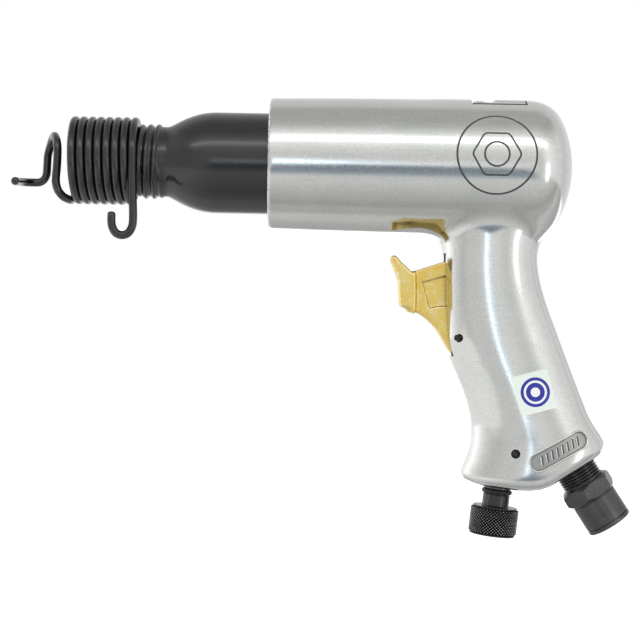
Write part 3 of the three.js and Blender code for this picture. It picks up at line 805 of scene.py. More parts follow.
def rounded(outline, r, steps=5):
    pts = [np.asarray(p, float) for p in outline]
    n = len(pts)
    out = []
    for k in range(n):
        rr = r[k] if hasattr(r, "__len__") else r
        a, b, c = pts[k - 1], pts[k], pts[(k + 1) % n]
        u, v = a - b, c - b
        lu, lv = np.linalg.norm(u), np.linalg.norm(v)
        u, v = u / lu, v / lv
        q = min(rr, 0.45 * lu, 0.45 * lv)
        if q <= 1e-6:
            out.append(b)
            continue
        p0, p2 = b + u * q, b + v * q
        for t in np.linspace(0, 1, steps + 1):
            out.append((1 - t) ** 2 * p0 + 2 * t * (1 - t) * b + t * t * p2)
    return np.array(out)


# inside of the housing, as the design has it, with the small chamfers a machinist leaves
cutters.append(cut_turned([(-2, 0.01), (-2, 20.7), (0.0, 19.25), (0.55, 18.68), (6.6, 18.68), (6.6, 16.33), (66, 16.33),
                           (66, 9), (80, 9), (82, 7), (82, 0.01)], 128))
cutters.append(cyl((58, 0, 13.2), (82, 0, 18.2), 3.6, 40))
cutters.append(cut_block(78, 89.5, -4.5, 4.5, 15.5, 24))
pocket = rounded([(72.3, -14), (92.0, -14), (92.0, 14), (72.3, 14)], 0.01, 1)
cutters.append(cut_block(72.3, 92.0, -14, 14, 21.65, 30))
cutters.append(cyl((75.7, 0, 12), (75.7, 0, 26), 1.5, 32))
slot = rounded([(40, -31.4), (74.4, -31.4), (75.7, -33.2), (75.7, -68.4), (40, -68.4)], [0, 1.2, 1.2, 1.0, 0], 5)
cutters.append(prism("cutter", slot, -6.1, 6.1))
PIN = (69.2, -61.8)
cutters.append(cyl((PIN[0], -22, PIN[1]), (PIN[0], 22, PIN[1]), 1.52, 40))
cutters.append(cyl((70, 0, -45), (94.8, 0, -45), 5.88, 48))
cutters.append(cyl((80.6, 0, -44), (75.5, 0, -4), 2.6, 24))
IF, ID = np.array([113.13, 0, -108.46]), np.array([0.5548, 0, -0.8320])


def inl(t):
    return IF + ID * t


cutters.append(cut_turned([(-24, 0.01), (-24, 8.0), (-1.0, 8.0), (1.2, 9.3), (6, 9.3), (6, 0.01)], 64, IF, ID))
cutters.append(cyl(inl(-22), (91.2, 0, -47), 3.0, 24))
RT, RD = np.array([85.08, 0, -116.0]), np.array([-0.1005, 0, -0.9949])


def reg(w):
    return RT + RD * w


cutters.append(cyl(reg(-25), reg(8), 5.25, 64))
cutters.append(cyl((88, 0, -94.2), (100, 0, -94.2), 2.0, 20))
RPIN = (89.7, -102.3)
cutters.append(cyl((RPIN[0], -22, RPIN[1]), (RPIN[0], 22, RPIN[1]), 1.52, 40))
for side in (-1, 1):
    for (cx, cz), r in ((RPIN, 1.52),):
        ys = float(surf_y(np.array([cx]), np.array([cz]), 0.0, side)[0])
        cutters.append(cyl((cx, ys + side * 1.2, cz), (cx, ys - side * 0.30, cz), r + 0.42, 40, r + 0.02))


def ring_cut(pts2d, r, lift=0.02, side=-1):
    """Groove along a closed path drawn on the housing's side."""
    pts2d = resample(np.vstack([pts2d, pts2d[:1]]), 0.35)[:-1]
    y = surf_y(pts2d[:, 0], pts2d[:, 1], 0.0, side)
    path = np.stack([pts2d[:, 0], y + side * lift, pts2d[:, 1]], 1)
    V, F, _ = sweep(path, r, 10, closed=True)
    return make("cutter", V, F, None, 180)


MED = np.array([80.3, 2.8])
aa = np.linspace(0, 2 * math.pi, 200, endpoint=False)
hexo = rounded([(MED[0] + 8.6 * math.cos(math.radians(60 * k)), MED[1] + 8.6 * math.sin(math.radians(60 * k))) for k in range(6)], 1.2, 5)
for side in (-1, 1):
    cutters.append(ring_cut(np.stack([MED[0] + 13.9 * np.cos(aa), MED[1] + 13.9 * np.sin(aa)], 1), 0.36, 0.10, side))
    cutters.append(ring_cut(hexo, 0.34, 0.10, side))
    cutters.append(ring_cut(np.stack([MED[0] + 4.3 * np.cos(aa), MED[1] + 4.3 * np.sin(aa)], 1), 0.34, 0.10, side))


def pad_solid(name, loops, ys_top, ys_bottom, mat=None, angle=40):
    """Thin solid on the housing's side: loops of (x, z) from the rim to the centre, each with a top and a bottom Y."""
    n = len(loops[0])
    V, rows = [], []
    for L, y in zip(loops, ys_top):
        rows.append(len(V) // 1)
        V.extend(np.stack([L[:, 0], y, L[:, 1]], 1).tolist())
    for L, y in zip(loops[::-1], ys_bottom[::-1]):
        rows.append(len(V))
        V.extend(np.stack([L[:, 0], y, L[:, 1]], 1).tolist())
    i = np.arange(n)
    F = []
    k = len(loops)
    order = list(range(k - 1, -1, -1)) + list(range(2 * k - 1, k - 1, -1))
    # rim of the top is loop 0; rim of the bottom is the last one written
    seq = [rows[q] for q in range(k - 1, -1, -1)] + [rows[q] for q in range(2 * k - 1, k - 1, -1)]
    for a, b in zip(seq[:-1], seq[1:]):
        F.append(np.stack([a + i, a + (i + 1) % n, b + (i + 1) % n, b + i], 1))
    return make(name, V, np.concatenate(F), mat, angle, weld=0.004)


def stadium(c0, c1, r, n=24):
    c0, c1 = np.asarray(c0, float), np.asarray(c1, float)
    d = (c1 - c0) / np.linalg.norm(c1 - c0)
    a0 = math.atan2(d[1], d[0])
    one = [c1 + r * np.array([math.cos(a0 + t), math.sin(a0 + t)]) for t in np.linspace(-math.pi / 2, math.pi / 2, n)]
    mid0 = [c1 + (c0 - c1) * t + r * np.array([math.cos(a0 + math.pi / 2), math.sin(a0 + math.pi / 2)]) for t in np.linspace(0, 1, n)[1:-1]]
    two = [c0 + r * np.array([math.cos(a0 + t), math.sin(a0 + t)]) for t in np.linspace(math.pi / 2, 3 * math.pi / 2, n)]
    mid1 = [c0 + (c1 - c0) * t + r * np.array([math.cos(a0 - math.pi / 2), math.sin(a0 - math.pi / 2)]) for t in np.linspace(0, 1, n)[1:-1]]
    return np.array(one + mid0 + two + mid1)


PL0, PL1, PLR = (97.9, -105.1), (112.2, -97.1), 2.65
for side in (-1, 1):
    offs = [PLR + 0.55, PLR, PLR * 0.75, PLR * 0.5, PLR * 0.25, 0.0]
    loops = [stadium(PL0, PL1, o) for o in offs]
    bottom = [surf_y(L[:, 0], L[:, 1], 0.0 if k == 0 else 0.55, side) + (side * 0.06 if k == 0 else 0) for k, L in enumerate(loops)]
    top = [np.full(len(L), side * 26.0) for L in loops]
    cutters.append(pad_solid("cutter", loops, top, bottom))

boolean(housing, cutters)
housing.data.materials.clear()
housing.data.materials.append(MAT["cast"])
housing.data.materials.append(MAT["recess"])
housing.data.materials.append(MAT["groove"])
npoly = len(housing.data.polygons)
mid = np.empty(npoly * 3)
housing.data.polygons.foreach_get("center", mid)
mid = mid.reshape(-1, 3) * 1000.0 + GC
# painted shade: faces sunk below the outer surface take the darkened recess copy, the medallion's engraved lines the
# darker groove copy
sunk = f_housing(mid[:, 0], mid[:, 1], mid[:, 2]) < -0.055
sunk &= ~((mid[:, 2] > 21.5) & (np.abs(mid[:, 1]) > 9.4))
groove_shade_faces = sunk & (np.hypot(mid[:, 0] - MED[0], mid[:, 2] - MED[1]) < 14.8) & (np.abs(mid[:, 1]) > 15.0)
housing.data.polygons.foreach_set("material_index", sunk.astype(np.int32) + groove_shade_faces.astype(np.int32))
smooth(housing, 28)
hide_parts("housing")
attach(housing, "housing_body")

# --------------------------------------------------------------------- label
LAB = [np.array(p) for p in ((87.55, -75.2), (100.2, -71.7), (104.6, -85.4), (91.5, -88.9))]
lab_out = rounded(LAB, 0.7, 5)
lab_out = resample(np.vstack([lab_out, lab_out[:1]]), 0.45)[:-1]
lab_c = sum(LAB) / 4


def decal(name, outline, centre, lift, sink, mat, rings=10):
    loops = [centre + (outline - centre) * s for s in [1.0, 0.985] + list(np.linspace(0.9, 0.0, rings))]
    base = [surf_y(L[:, 0], L[:, 1]) for L in loops]
    top = [b - (lift * (0.55 if k == 0 else 1.0)) for k, b in enumerate(base)]
    bot = [b + sink for b in base]
    return pad_solid(name, loops, top, bot, mat, 60)


def on_body(ob, body, slot, *nodes):
    if nodes:
        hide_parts(*nodes)
    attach(ob, body)


label = decal("grip_label_film", lab_out, lab_c, 0.13, 0.02, MAT["label"])
on_body(label, "housing_body", "label_film", "grip_label")
bc = np.array([96.25, -80.3])


def circle(c, r, n=72):
    a = np.linspace(0, 2 * math.pi, n, endpoint=False)
    return np.stack([c[0] + r * np.cos(a), c[1] + r * np.sin(a)], 1)


disc = decal("grip_label_disc", circle(bc, 5.3), bc, 0.155, -0.10, MAT["blue"])
on_body(disc, "housing_body", "label_film")


def band(name, r0, r1, lift, mat):
    n = 72
    rs = [r0, r0 + 0.06, r1 - 0.06, r1]
    loops = [circle(bc, r, n) for r in rs]
    up = [surf_y(L[:, 0], L[:, 1]) - lift * (1.0 if 0 < k < 3 else 0.96) for k, L in enumerate(loops)]
    dn = [surf_y(L[:, 0], L[:, 1]) - lift + 0.03 for L in loops]
    V = np.vstack([np.stack([L[:, 0], y, L[:, 1]], 1) for L, y in zip(loops + loops[::-1], up + dn[::-1])])
    i = np.arange(n)
    F = np.concatenate([np.stack([a * n + i, a * n + (i + 1) % n, ((a + 1) % 8) * n + (i + 1) % n, ((a + 1) % 8) * n + i], 1) for a in range(8)])
    return make(name, V, F, mat, 60)


ringm = band("grip_label_ring", 3.35, 4.15, 0.17, MAT["white"])
on_body(ringm, "housing_body", "label_film")
dot = decal("grip_label_dot", circle(bc, 1.7), bc, 0.17, -0.12, MAT["white"])
on_body(dot, "housing_body", "label_film")

# raised rim round the recessed plate on each side of the grip
for side, tag in ((-1, "near"), (1, "far")):
    rim = resample(np.vstack([stadium(PL0, PL1, PLR + 0.62), stadium(PL0, PL1, PLR + 0.62)[:1]]), 0.35)[:-1]
    V, F, _ = sweep(np.stack([rim[:, 0], surf_y(rim[:, 0], rim[:, 1], 0.10, side), rim[:, 1]], 1), 0.36, 12, closed=True)
    rim_ob = make("grip_plate_rim_" + tag, V, F, MAT["cast"], 180)
    on_body(rim_ob, "housing_body", "cast_aluminium")

d01 = (np.array(PL1) - np.array(PL0)) / np.linalg.norm(np.array(PL1) - np.array(PL0))
n01 = np.array([-d01[1], d01[0]])
for side, tag in ((-1, "near"), (1, "far")):
    VV, FF, off = [], [], 0
    for t in np.linspace(0.06, 0.94, 8):
        c = np.array(PL0) + (np.array(PL1) - np.array(PL0)) * t
        seg = np.array([c + n01 * q + d01 * q * 0.35 for q in np.linspace(-1.45, 1.45, 7)])
        V, F, _ = sweep(np.stack([seg[:, 0], surf_y(seg[:, 0], seg[:, 1], 0.52, side), seg[:, 1]], 1), 0.30, 8)
        VV.append(V)
        FF.append(F + off)
        off += len(V)
    rib_ob = make("grip_plate_ribs_" + tag, np.vstack(VV), np.vstack(FF), MAT["cast"], 180)
    on_body(rib_ob, "housing_body", "cast_aluminium")
    # painted shadow: a second row of thin strips in the dark groove aluminium, set just beside each rib, stands in for
    # the ribs' shadows
    VV, FF, off = [], [], 0
    for t in np.linspace(0.06, 0.94, 8):
        c = np.array(PL0) + (np.array(PL1) - np.array(PL0)) * t + d01 * 0.62
        seg = np.array([c + n01 * q + d01 * q * 0.35 for q in np.linspace(-1.45, 1.45, 7)])
        V, F, _ = sweep(np.stack([seg[:, 0], surf_y(seg[:, 0], seg[:, 1], 0.56, side), seg[:, 1]], 1), 0.24, 8)
        VV.append(V)
        FF.append(F + off)
        off += len(V)
    sh_ob = make("grip_plate_rib_painted_shadows_" + tag, np.vstack(VV), np.vstack(FF), MAT["groove"], 180)
    on_body(sh_ob, "housing_body", "cast_aluminium")

# -------------------------------------------------------------------- barrel
THREAD_P, THREAD_X0 = 3.05, -44.9


def barrel_radius(H, R, PH):
    # PH = 0 faces the near side; the thread's crest passes the top at THREAD_X0
    a = PH / (2 * math.pi)
    side = 0.25
    ph = (H - THREAD_X0) / THREAD_P - (side - a)
    w = 0.5 + 0.5 * np.cos(2 * math.pi * ph)
    w = w ** 0.9
    fade = np.clip((H + 47.6) / 1.2, 0, 1) * np.clip((-38.0 - H) / 2.0, 0, 1)
    outer = (R > 11.0) & (H > -48.0) & (H < -37.0)
    return H, np.where(outer, R + 0.95 * w * fade, R)


outer = round_profile([(-70.5, 6.8), (-70.5, 12.55), (-48.2, 12.55), (-47.6, 12.62), (-38.4, 12.72), (-36.9, 12.72)],
                      [0, 0.7, 0, 0, 0, 0], 5)
outer = outer[outer[:, 0] < -48.3]
thr = [(x, 12.60 + 0.1 * (x + 48.2) / 10) for x in np.arange(-48.2, -37.4, 0.16)]
og = catmull([(-37.4, 12.72), (-36.6, 12.86), (-35.6, 13.28), (-34.2, 14.0), (-32.3, 15.0), (-30.0, 16.05), (-27.6, 16.95),
              (-25.2, 17.62), (-22.8, 18.05), (-20.4, 18.26), (-17.5, 18.3)], 6)
prof = [tuple(p) for p in outer] + thr + [tuple(p) for p in og] + [(-10, 18.3), (-2, 18.3), (3.4, 18.3), (4.0, 17.8), (4.0, 16.0),
        (37.2, 16.0), (38.0, 15.2), (38.0, 9.6), (-42, 9.6), (-45.5, 5.2), (-69.3, 5.2)]
bar = turned("barrel_cylinder", prof, MAT["barrel"], 160, (0, 0, 0), (1, 0, 0), ring=True, radius=barrel_radius, angle=28)
on_body(bar, "housing_body", "black_steel", "barrel")

# ----------------------------------------------------------- retainer spring
COIL_R, PITCH, X0 = 14.5, 3.12, -71.0
front = [(-91.9, -5.2, -8.4), (-92.1, -2.0, -8.2), (-91.8, 2.2, -8.0), (-90.6, 5.9, -7.85), (-88.0, 7.9, -7.75),
         (-85.6, 8.3, -7.6), (-84.0, 8.4, -6.6), (-83.1, 8.4, -4.6), (-82.9, 8.4, -1.2), (-82.7, 8.3, 2.5),
         (-81.7, 7.4, 5.8), (-80.5, 4.6, 8.1), (-79.1, 0.5, 8.8), (-77.8, -4.2, 7.9), (-76.5, -7.6, 5.4),
         (-76.1, -8.6, 2.0), (-76.2, -8.7, -3.0), (-76.5, -8.6, -8.0), (-75.9, -8.1, -11.3), (-74.5, -5.9, -13.5),
         (-73.1, -3.0, -14.35)]
ang = np.radians(np.arange(-175, 7.25 * 360 + 0.01, 5.0))
helix = np.stack([X0 + PITCH * ang / (2 * math.pi), -COIL_R * np.sin(ang), COIL_R * np.cos(ang)], 1)
tail = [(-48.3, -14.6, -5), (-48.0, -14.7, -12), (-47.7, -14.7, -18), (-47.6, -14.7, -22), (-47.9, -14.7, -24.6),
        (-49.2, -14.7, -26.9), (-51.4, -14.7, -27.7), (-53.7, -14.7, -26.9), (-55.0, -14.7, -24.6),
        (-55.3, -14.7, -22.4), (-55.3, -14.7, -20.4)]
ctrl = np.vstack([front, helix[::3], tail])
wire = resample(catmull(ctrl, 8), 0.9)
V, F, extra = sweep(wire, 1.50, 16)
spring = make("retainer_spring_wire", V, F, MAT["wire"], 60, extra)
on_body(spring, "retainer", "spring_wire", "retainer_spring")

# ------------------------------------------------------------------- trigger
WEB = [(50.5, -37.9), (52.1, -38.3), (58, -36.4), (64.1, -34.4), (70.2, -33.2), (71.7, -37.2), (72.4, -41.2),
       (72.6, -50), (72.8, -58), (72.8, -63.4), (71.4, -65.4), (69.2, -66.1), (66.9, -67.1), (65.4, -65.2),
       (63.7, -62.2), (61.3, -58.6), (57.5, -54.95), (53.8, -52.7), (50.5, -51.6)]
BLADE = [(44.4, -33.7), (44.8, -33.0), (45.8, -32.6), (46.8, -33.2), (48.6, -35.2), (50.5, -36.8), (52.1, -38.3), (53.7, -39.6),
         (53.8, -52.6), (51.4, -51.9), (48.9, -51.0), (48.1, -49.7), (47.8, -45), (47.5, -41.6), (46.1, -37.8)]
RECESS = [(56.0, -42.0), (75.0, -36.4), (75.0, -50.6), (62.0, -50.6), (58.8, -51.4)]
web_t = Table2D(lambda a, b: polygon_sdf(a, b, catmull(np.vstack([WEB, WEB[:1]]), 4)[:-1]), (40, -72), (78, -28), 0.2)
blade_t = Table2D(lambda a, b: polygon_sdf(a, b, catmull(np.vstack([BLADE, BLADE[:1]]), 4)[:-1]), (40, -72), (78, -28), 0.2)
rec_t = Table2D(lambda a, b: polygon_sdf(a, b, np.array(RECESS)), (40, -72), (78, -28), 0.2)


def slab(d2, y, half, r):
    qx, qy = d2 + r, np.abs(y) - half + r
    return np.minimum(np.maximum(qx, qy), 0) + np.hypot(np.maximum(qx, 0), np.maximum(qy, 0)) - r


def f_trigger(x, y, z):
    x, y, z = np.broadcast_arrays(x, y, z)
    w = slab(web_t(x, z), y, 5.5, 0.55)
    b = slab(blade_t(x, z), y, 7.4, 1.1)
    t = smin(w, b, 1.0)
    pocket = slab(rec_t(x, z), np.abs(y) - 8.5, 4.0, 0.5)
    t = smax(t, -pocket, 0.7)
    return smax(t, -(np.hypot(x - 69.2, z + 61.8) - 1.75), 0.3)


TV, TQ = net(f_trigger, (43.2, -8.4, -68.6), (74.6, 8.4, -31.0), 0.30, 2)
trig = make("trigger_lever", TV, TQ, MAT["brass"], 180, fix=False)
on_body(trig, "trigger", "yellow_brass", "trigger")



def cross_pin(name, at, r, node, sink):
    L = abs(float(surf_y(np.array([at[0]]), np.array([at[1]]))[0])) - sink
    pr = round_profile([(-L + 0.16, 0.01), (-L + 0.16, 0.40), (-L, 0.62), (-L, r), (L, r), (L, 0.62), (L - 0.16, 0.40), (L - 0.16, 0.01)],
                       [0, 0, 0.05, 0.25, 0.25, 0.05, 0, 0], 3)
    ob = turned(name, pr, MAT["pin"], 40, (at[0], 0, at[1]), (0, 1, 0))
    on_body(ob, "housing_body", "black_steel", node)


cross_pin("trigger_cross_pin", PIN, 1.12, "trigger_pin", 1.15)
cross_pin("regulator_cross_pin", RPIN, 1.12, "regulator_pin", 0.28)

# ----------------------------------------------------------------- regulator
KN0, KN1, KR = 7.15, 16.45, 8.55
kp = [(-23.6, 0.01), (-23.6, 4.0), (-22.8, 4.87), (-21.9, 4.87), (-21.9, 3.7), (-19.9, 3.7), (-19.9, 4.87), (-16.2, 4.87),
      (-15.9, 1.85), (-11.6, 1.85), (-11.3, 4.87), (0.1, 4.87), (0.1, 3.9), (2.3, 3.9), (2.3, 4.75), (2.45, 4.87), (6.3, 4.87), (6.6, 5.3), (6.65, 8.1)]
kp += [(t, KR) for t in np.arange(KN0, KN1 + 0.001, 0.13)] + [(16.95, 8.25), (17.05, 8.0), (17.05, 3.2), (16.4, 2.7), (16.4, 0.01)]
SEGK = 400
STARTS = 44


def knurl(H, R, PH):
    m = (R > 8.3) & (H >= KN0) & (H <= KN1)
    u = STARTS * PH / (2 * math.pi)
    v = (H - KN0) / (2 * math.pi * KR / STARTS) * 1.05

    def tri(t):
        t = t - np.floor(t)
        return 1 - np.abs(2 * t - 1)
    h = np.minimum(tri(u + v), tri(u - v))
    h = np.minimum(h, 0.60) / 0.60
    end = np.clip((H - KN0) / 0.3, 0, 1) * np.clip((KN1 - H) / 0.3, 0, 1)
    return H, np.where(m, R - 0.66 + 0.80 * h * end, R)


kn = turned("regulator_knob_stem", kp, MAT["knob"], SEGK, RT, RD, radius=knurl, angle=24)
# how high each point of the knurl stands, so its crests can be lightened (rubbed wear with painted highlight) and its
# valleys darkened (painted shade)
kc = np.empty(len(kn.data.vertices) * 3)
kn.data.vertices.foreach_get("co", kc)
kc = kc.reshape(-1, 3) * 1000.0 + GC - RT
kh = kc @ RD
kr = np.linalg.norm(kc - kh[:, None] * RD, axis=1)
crest = np.clip((kr - (KR - 0.62)) / 0.66, 0, 1) * ((kh > KN0) & (kh < KN1) & (kr > 7.6))
depth = np.where((kh > KN0) & (kh < KN1) & (kr > 7.6), 1.0 - crest, 0.0)
for an, av in (("crest", crest), ("knurl_valley_shade", depth)):
    at = kn.data.attributes.new(an, "FLOAT", "POINT")
    at.data.foreach_set("value", av.astype(np.float32))
on_body(kn, "regulator", "black_steel", "regulator_screw")
orv = []
for a in np.linspace(0, 2 * math.pi, 20, endpoint=False):
    orv.append((1.2 + 0.82 * math.cos(a), 4.78 + 0.70 * math.sin(a)))
oring = turned("regulator_seal_ring", orv, MAT["rubber"], 96, RT, RD, ring=True, angle=180)
on_body(oring, "regulator", "rubber", "regulator_o_ring_lower")

# --------------------------------------------------------------------- inlet
AF = 17.5
ROT = math.radians(12 + 33)


def inlet_radius(H, R, PH):
    # hexagon with turned chamfers
    m = (H >= 5.75) & (H <= 12.0) & (R > 8.26)
    p = (PH + ROT) % (math.pi / 3) - math.pi / 6
    hexr = (AF / 2) / np.cos(p)
    R2 = np.where(m, np.minimum(hexr, R), R)
    # tapering pipe thread
    th = (H < 5.6) & (R > 7.0)
    ph = H / 1.08 + PH / (2 * math.pi)
    tri = 1 - np.abs(2 * (ph - np.floor(ph)) - 1)
    fade = np.clip((5.5 - H) / 0.6, 0, 1)
    R2 = np.where(th, R - 0.75 * fade * (1 - np.clip(tri * 1.25, 0, 1)), R2)
    return H, R2


ip = [(-17.5, 4.3), (-17.5, 6.6)] + [(t, 7.6) for t in np.arange(-16.9, 5.55, 0.12)]
ip += [(5.6, 7.15), (5.75, 7.15), (5.75, 8.30)]
ip += [(5.78 + 0.30 * k, 8.45 + 0.36 * k) for k in range(0, 5)]            # chamfer toward the thread
ip += [(t, 10.3) for t in np.linspace(7.6, 10.1, 6)]
ip += [(10.1 + 0.22 * k, 10.3 - 0.245 * k) for k in range(1, 8)]           # chamfer toward the socket
ip += [(11.8, 8.32), (11.85, 8.0), (12.2, 8.0), (12.35, 8.25), (21.35, 8.25), (21.5, 7.85), (21.75, 7.85), (21.9, 8.2), (22.1, 8.3),
       (23.1, 8.3), (23.4, 8.0), (23.4, 6.3), (22.7, 5.7), (9.4, 5.7), (8.6, 4.3)]
inb = turned("inlet_bushing_hex", ip, MAT["inlet"], 240, IF, ID, ring=True, radius=inlet_radius, angle=26)
on_body(inb, "housing_body", "black_steel", "inlet_bushing")

# --------------------------------------------------------- exhaust deflector
DZ = 21.97


def beveled(ob, width, segments=2, angle=30):
    m = ob.modifiers.new("bevel", "BEVEL")
    m.width = width * 0.001
    m.segments = segments
    m.limit_method = "ANGLE"
    m.angle_limit = math.radians(angle)
    m.harden_normals = False
    return settle(ob)


shell = cut_block(72.75, 91.55, -9.3, 9.3, DZ, DZ + 0.7)
hood = cut_block(80.9, 91.55, -7.4, 7.4, DZ, 26)
boolean(shell, [hood], "UNION")
boolean(shell, [cut_block(82.0, 90.9, -5.4, 5.4, DZ - 1, 23.7)] + [cut_block(x - 0.75, x + 0.75, -4.2, 4.2, 22.9, 27) for x in (83.7, 86.3, 88.9)]
        + [cyl((75.7, 0, 20), (75.7, 0, 26), 1.55, 32)])
boolean(shell, [cut_turned([(60, 0.01), (60, 24.6), (100, 24.6), (100, 0.01)], 256)], "INTERSECT")
shell.name = "exhaust_deflector_plate"
beveled(shell, 0.16, 2, 40)
smooth(shell, 30)
shell.data.materials.clear()
shell.data.materials.append(MAT["plate"])
on_body(shell, "housing_body", "cast_aluminium", "exhaust_deflector")
# painted shadow: a thin black rubber strip fills the shadowed gap between the pocket floor and the deflector plate
gap_shadow_strip = prism("deflector_gap_shadow_strip", rounded([(72.55, 21.67), (91.78, 21.67), (91.78, 22.23), (72.55, 22.23)], 0.05, 1), -9.7, 9.7, MAT["rubber"], 30)
on_body(gap_shadow_strip, "housing_body", "rubber")
sz = DZ + 1.02 - 9.3
sp = [(0, 0.01), (0, 1.2), (9.3, 1.2), (9.3, 2.2), (9.42, 2.3), (9.95, 2.3), (10.25, 2.05), (10.35, 1.7), (10.35, 1.25), (9.7, 1.15), (9.7, 0.01)]
ss = turned("deflector_cap_screw", sp, MAT["zinc"], 48, (75.7, 0, sz), (0, 0, 1),
            radius=lambda H, R, PH: (H, np.where((R < 1.3) & (R > 1.0) & (H > 9.5), R / np.cos((PH % (math.pi / 3)) - math.pi / 6) * 0.92, R)), angle=28)
on_body(ss, "housing_body", "zinc_steel", "deflector_screw")

# --------------------------------------------- carried-over nodes' materials
FINISH = {
    "barrel_lock_ring": "machined", "piston": "bright", "valve_case_front": "machined", "valve_shuttle": "bright",
    "valve_case_rear": "machined", "valve_dowel_pin": "bright", "valve_back_plate": "machined", "valve_seal_ring": "rubber",
    "throttle_bushing": "brass", "throttle_bushing_o_ring": "rubber", "throttle_plunger": "bright", "throttle_valve": "rubber",
    "throttle_spring": "bright", "regulator_o_ring_upper": "rubber", "inlet_strainer": "brass",
    "housing": "cast", "barrel": "barrel", "retainer_spring": "wire", "trigger": "brass", "trigger_pin": "pin",
    "regulator_screw": "knob", "regulator_o_ring_lower": "rubber", "regulator_pin": "pin", "inlet_bushing": "inlet",
    "grip_label": "label", "exhaust_deflector": "cast", "deflector_screw": "zinc",
}
for name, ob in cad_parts.items():
    ob.data.materials.clear()
    ob.data.materials.append(MAT[FINISH[name]])
    smooth(ob, 32)

# --------------------------------------------------------------------- stage
FLOOR_Z = -0.30
fl = bpy.data.meshes.new("studio_card_below")
fl.from_pydata([(-1.4, -0.9, FLOOR_Z), (1.4, -0.9, FLOOR_Z), (1.4, 6, FLOOR_Z), (-1.4, 6, FLOOR_Z)], [], [(0, 1, 2, 3)])
card = bpy.data.objects.new("studio_card_below", fl)
bpy.context.scene.collection.objects.link(card)
fm, fnt, fb = nodes_of("studio_card")
fnt.links.new(ramp(fnt, noise(fnt, 3, 2), [(0.3, (0.29, 0.29, 0.29)), (0.7, (0.31, 0.31, 0.31))]), fb.inputs["Base Color"])
fb.inputs["Roughness"].default_value = 0.9
fb.inputs["Specular IOR Level"].default_value = 0.1
ftc = fnt.nodes.new("ShaderNodeTexCoord")
fsep = fnt.nodes.new("ShaderNodeSeparateXYZ")
fnt.links.new(ftc.outputs["Object"], fsep.inputs["Vector"])
FY = [(-0.9, 0.58), (-0.61, 0.565), (-0.486, 0.53), (-0.39, 0.48), (-0.315, 0.45), (-0.25, 0.41), (-0.198, 0.38), (-0.15, 0.34),
      (-0.106, 0.30), (-0.065, 0.39), (-0.026, 0.38), (0.013, 0.36), (0.05, 0.51), (0.136, 0.49), (0.233, 0.42), (0.36, 0.39),
      (0.56, 0.35), (0.82, 0.36), (0.92, 1.3), (1.1, 1.3)]
glowf = ramp(fnt, span(fnt, fsep.outputs["Y"], 0.0, 1.0, -1.0, 1.0 + 0.1), [((y + 1.0) / 2.1, (v - 0.15, v - 0.15, v - 0.15)) for y, v in FY])
glowf = mix(fnt, span(fnt, fsep.outputs["X"], 1.0, 0.0, -0.60, -0.14), glowf, (0.62, 0.62, 0.61))
fnt.links.new(glowf, fb.inputs["Emission Color"])
fb.inputs["Emission Strength"].default_value = 1.12
card.data.materials.append(fm)
# the polished metal mirrors the graded card; the camera sees the plain floor under it
card.visible_camera = False
card.visible_diffuse = False
card.visible_shadow = False
ground = bpy.data.meshes.new("floor")
ground.from_pydata([(-30, -30, FLOOR_Z - 0.004), (30, -30, FLOOR_Z - 0.004), (30, 30, FLOOR_Z - 0.004), (-30, 30, FLOOR_Z - 0.004)], [], [(0, 1, 2, 3)])
floor = bpy.data.objects.new("floor", ground)
bpy.context.scene.collection.objects.link(floor)
gm, gnt, gb = nodes_of("pale_floor")
gnt.links.new(ramp(gnt, noise(gnt, 3, 2), [(0.3, (0.80, 0.80, 0.80)), (0.7, (0.84, 0.84, 0.84))]), gb.inputs["Base Color"])
gb.inputs["Roughness"].default_value = 0.9
gb.inputs["Specular IOR Level"].default_value = 0.0
gb.inputs["Emission Color"].default_value = (1.0, 1.0, 1.0, 1.0)
gb.inputs["Emission Strength"].default_value = 0.75
floor.data.materials.append(gm)
floor.visible_glossy = False


def area(name, at, look, w, h, power, color=(1, 1, 1)):
    d = bpy.data.lights.new(name, "AREA")
    d.shape = "RECTANGLE"
    d.size, d.size_y = w, h
    d.energy = power
    d.color = color
    o = bpy.data.objects.new(name, d)
    bpy.context.scene.collection.objects.link(o)
    o.location = Vector(P(at))
    direction = Vector(P(look)) - o.location
    o.rotation_euler = direction.to_track_quat("-Z", "Y").to_euler()
    o.visible_camera = False
    return o


def polar(centre, dist, azimuth, elevation):
    """A point seen from centre: azimuth 0 faces the near side (-Y), positive toward +X."""
    a, e = math.radians(azimuth), math.radians(elevation)
    return (centre[0] + dist * math.sin(a) * math.cos(e), centre[1] - dist * math.cos(a) * math.cos(e), centre[2] + dist * math.sin(e))


C = (60.0, 0.0, 0.0)
G = (82.0, 0.0, -60.0)
CAM = (10.3, -580.0, -56.4)


def glow(name, at, look, w, h, radiance, color=(1, 1, 1)):
    """A soft box of the given radiance."""
    return area(name, at, look, w, h, radiance * math.pi * w * h, color)


glow("strip_over", polar(C, 900, 0, 41), C, 1.6, 0.15, 1.30, (1.0, 0.995, 0.96))

glow("card_rear", polar(C, 900, 47, -8), C, 0.16, 0.40, 1.15)

world = bpy.data.worlds.new("studio")
bpy.context.scene.world = world
world.use_nodes = True
wt = world.node_tree
wt.nodes.clear()


def angle_of(nt, num, den):
    m = nt.nodes.new("ShaderNodeMath")
    m.operation = "ARCTAN2"
    nt.links.new(num, m.inputs[0])
    nt.links.new(den, m.inputs[1])
    return span(nt, m.outputs[0], 0.0, 1.0, -math.pi, math.pi)


def scaled(nt, a, k):
    return times(nt, a, k)


def grey_ramp(nt, fac, table):
    stops = [((row[0] + 180.0) / 360.0, tuple(row[1] / 5 * c for c in (row[2] if len(row) > 2 else (1, 1, 1))))
             for row in sorted(table, key=lambda q: q[0])]
    return ramp(nt, fac, stops)


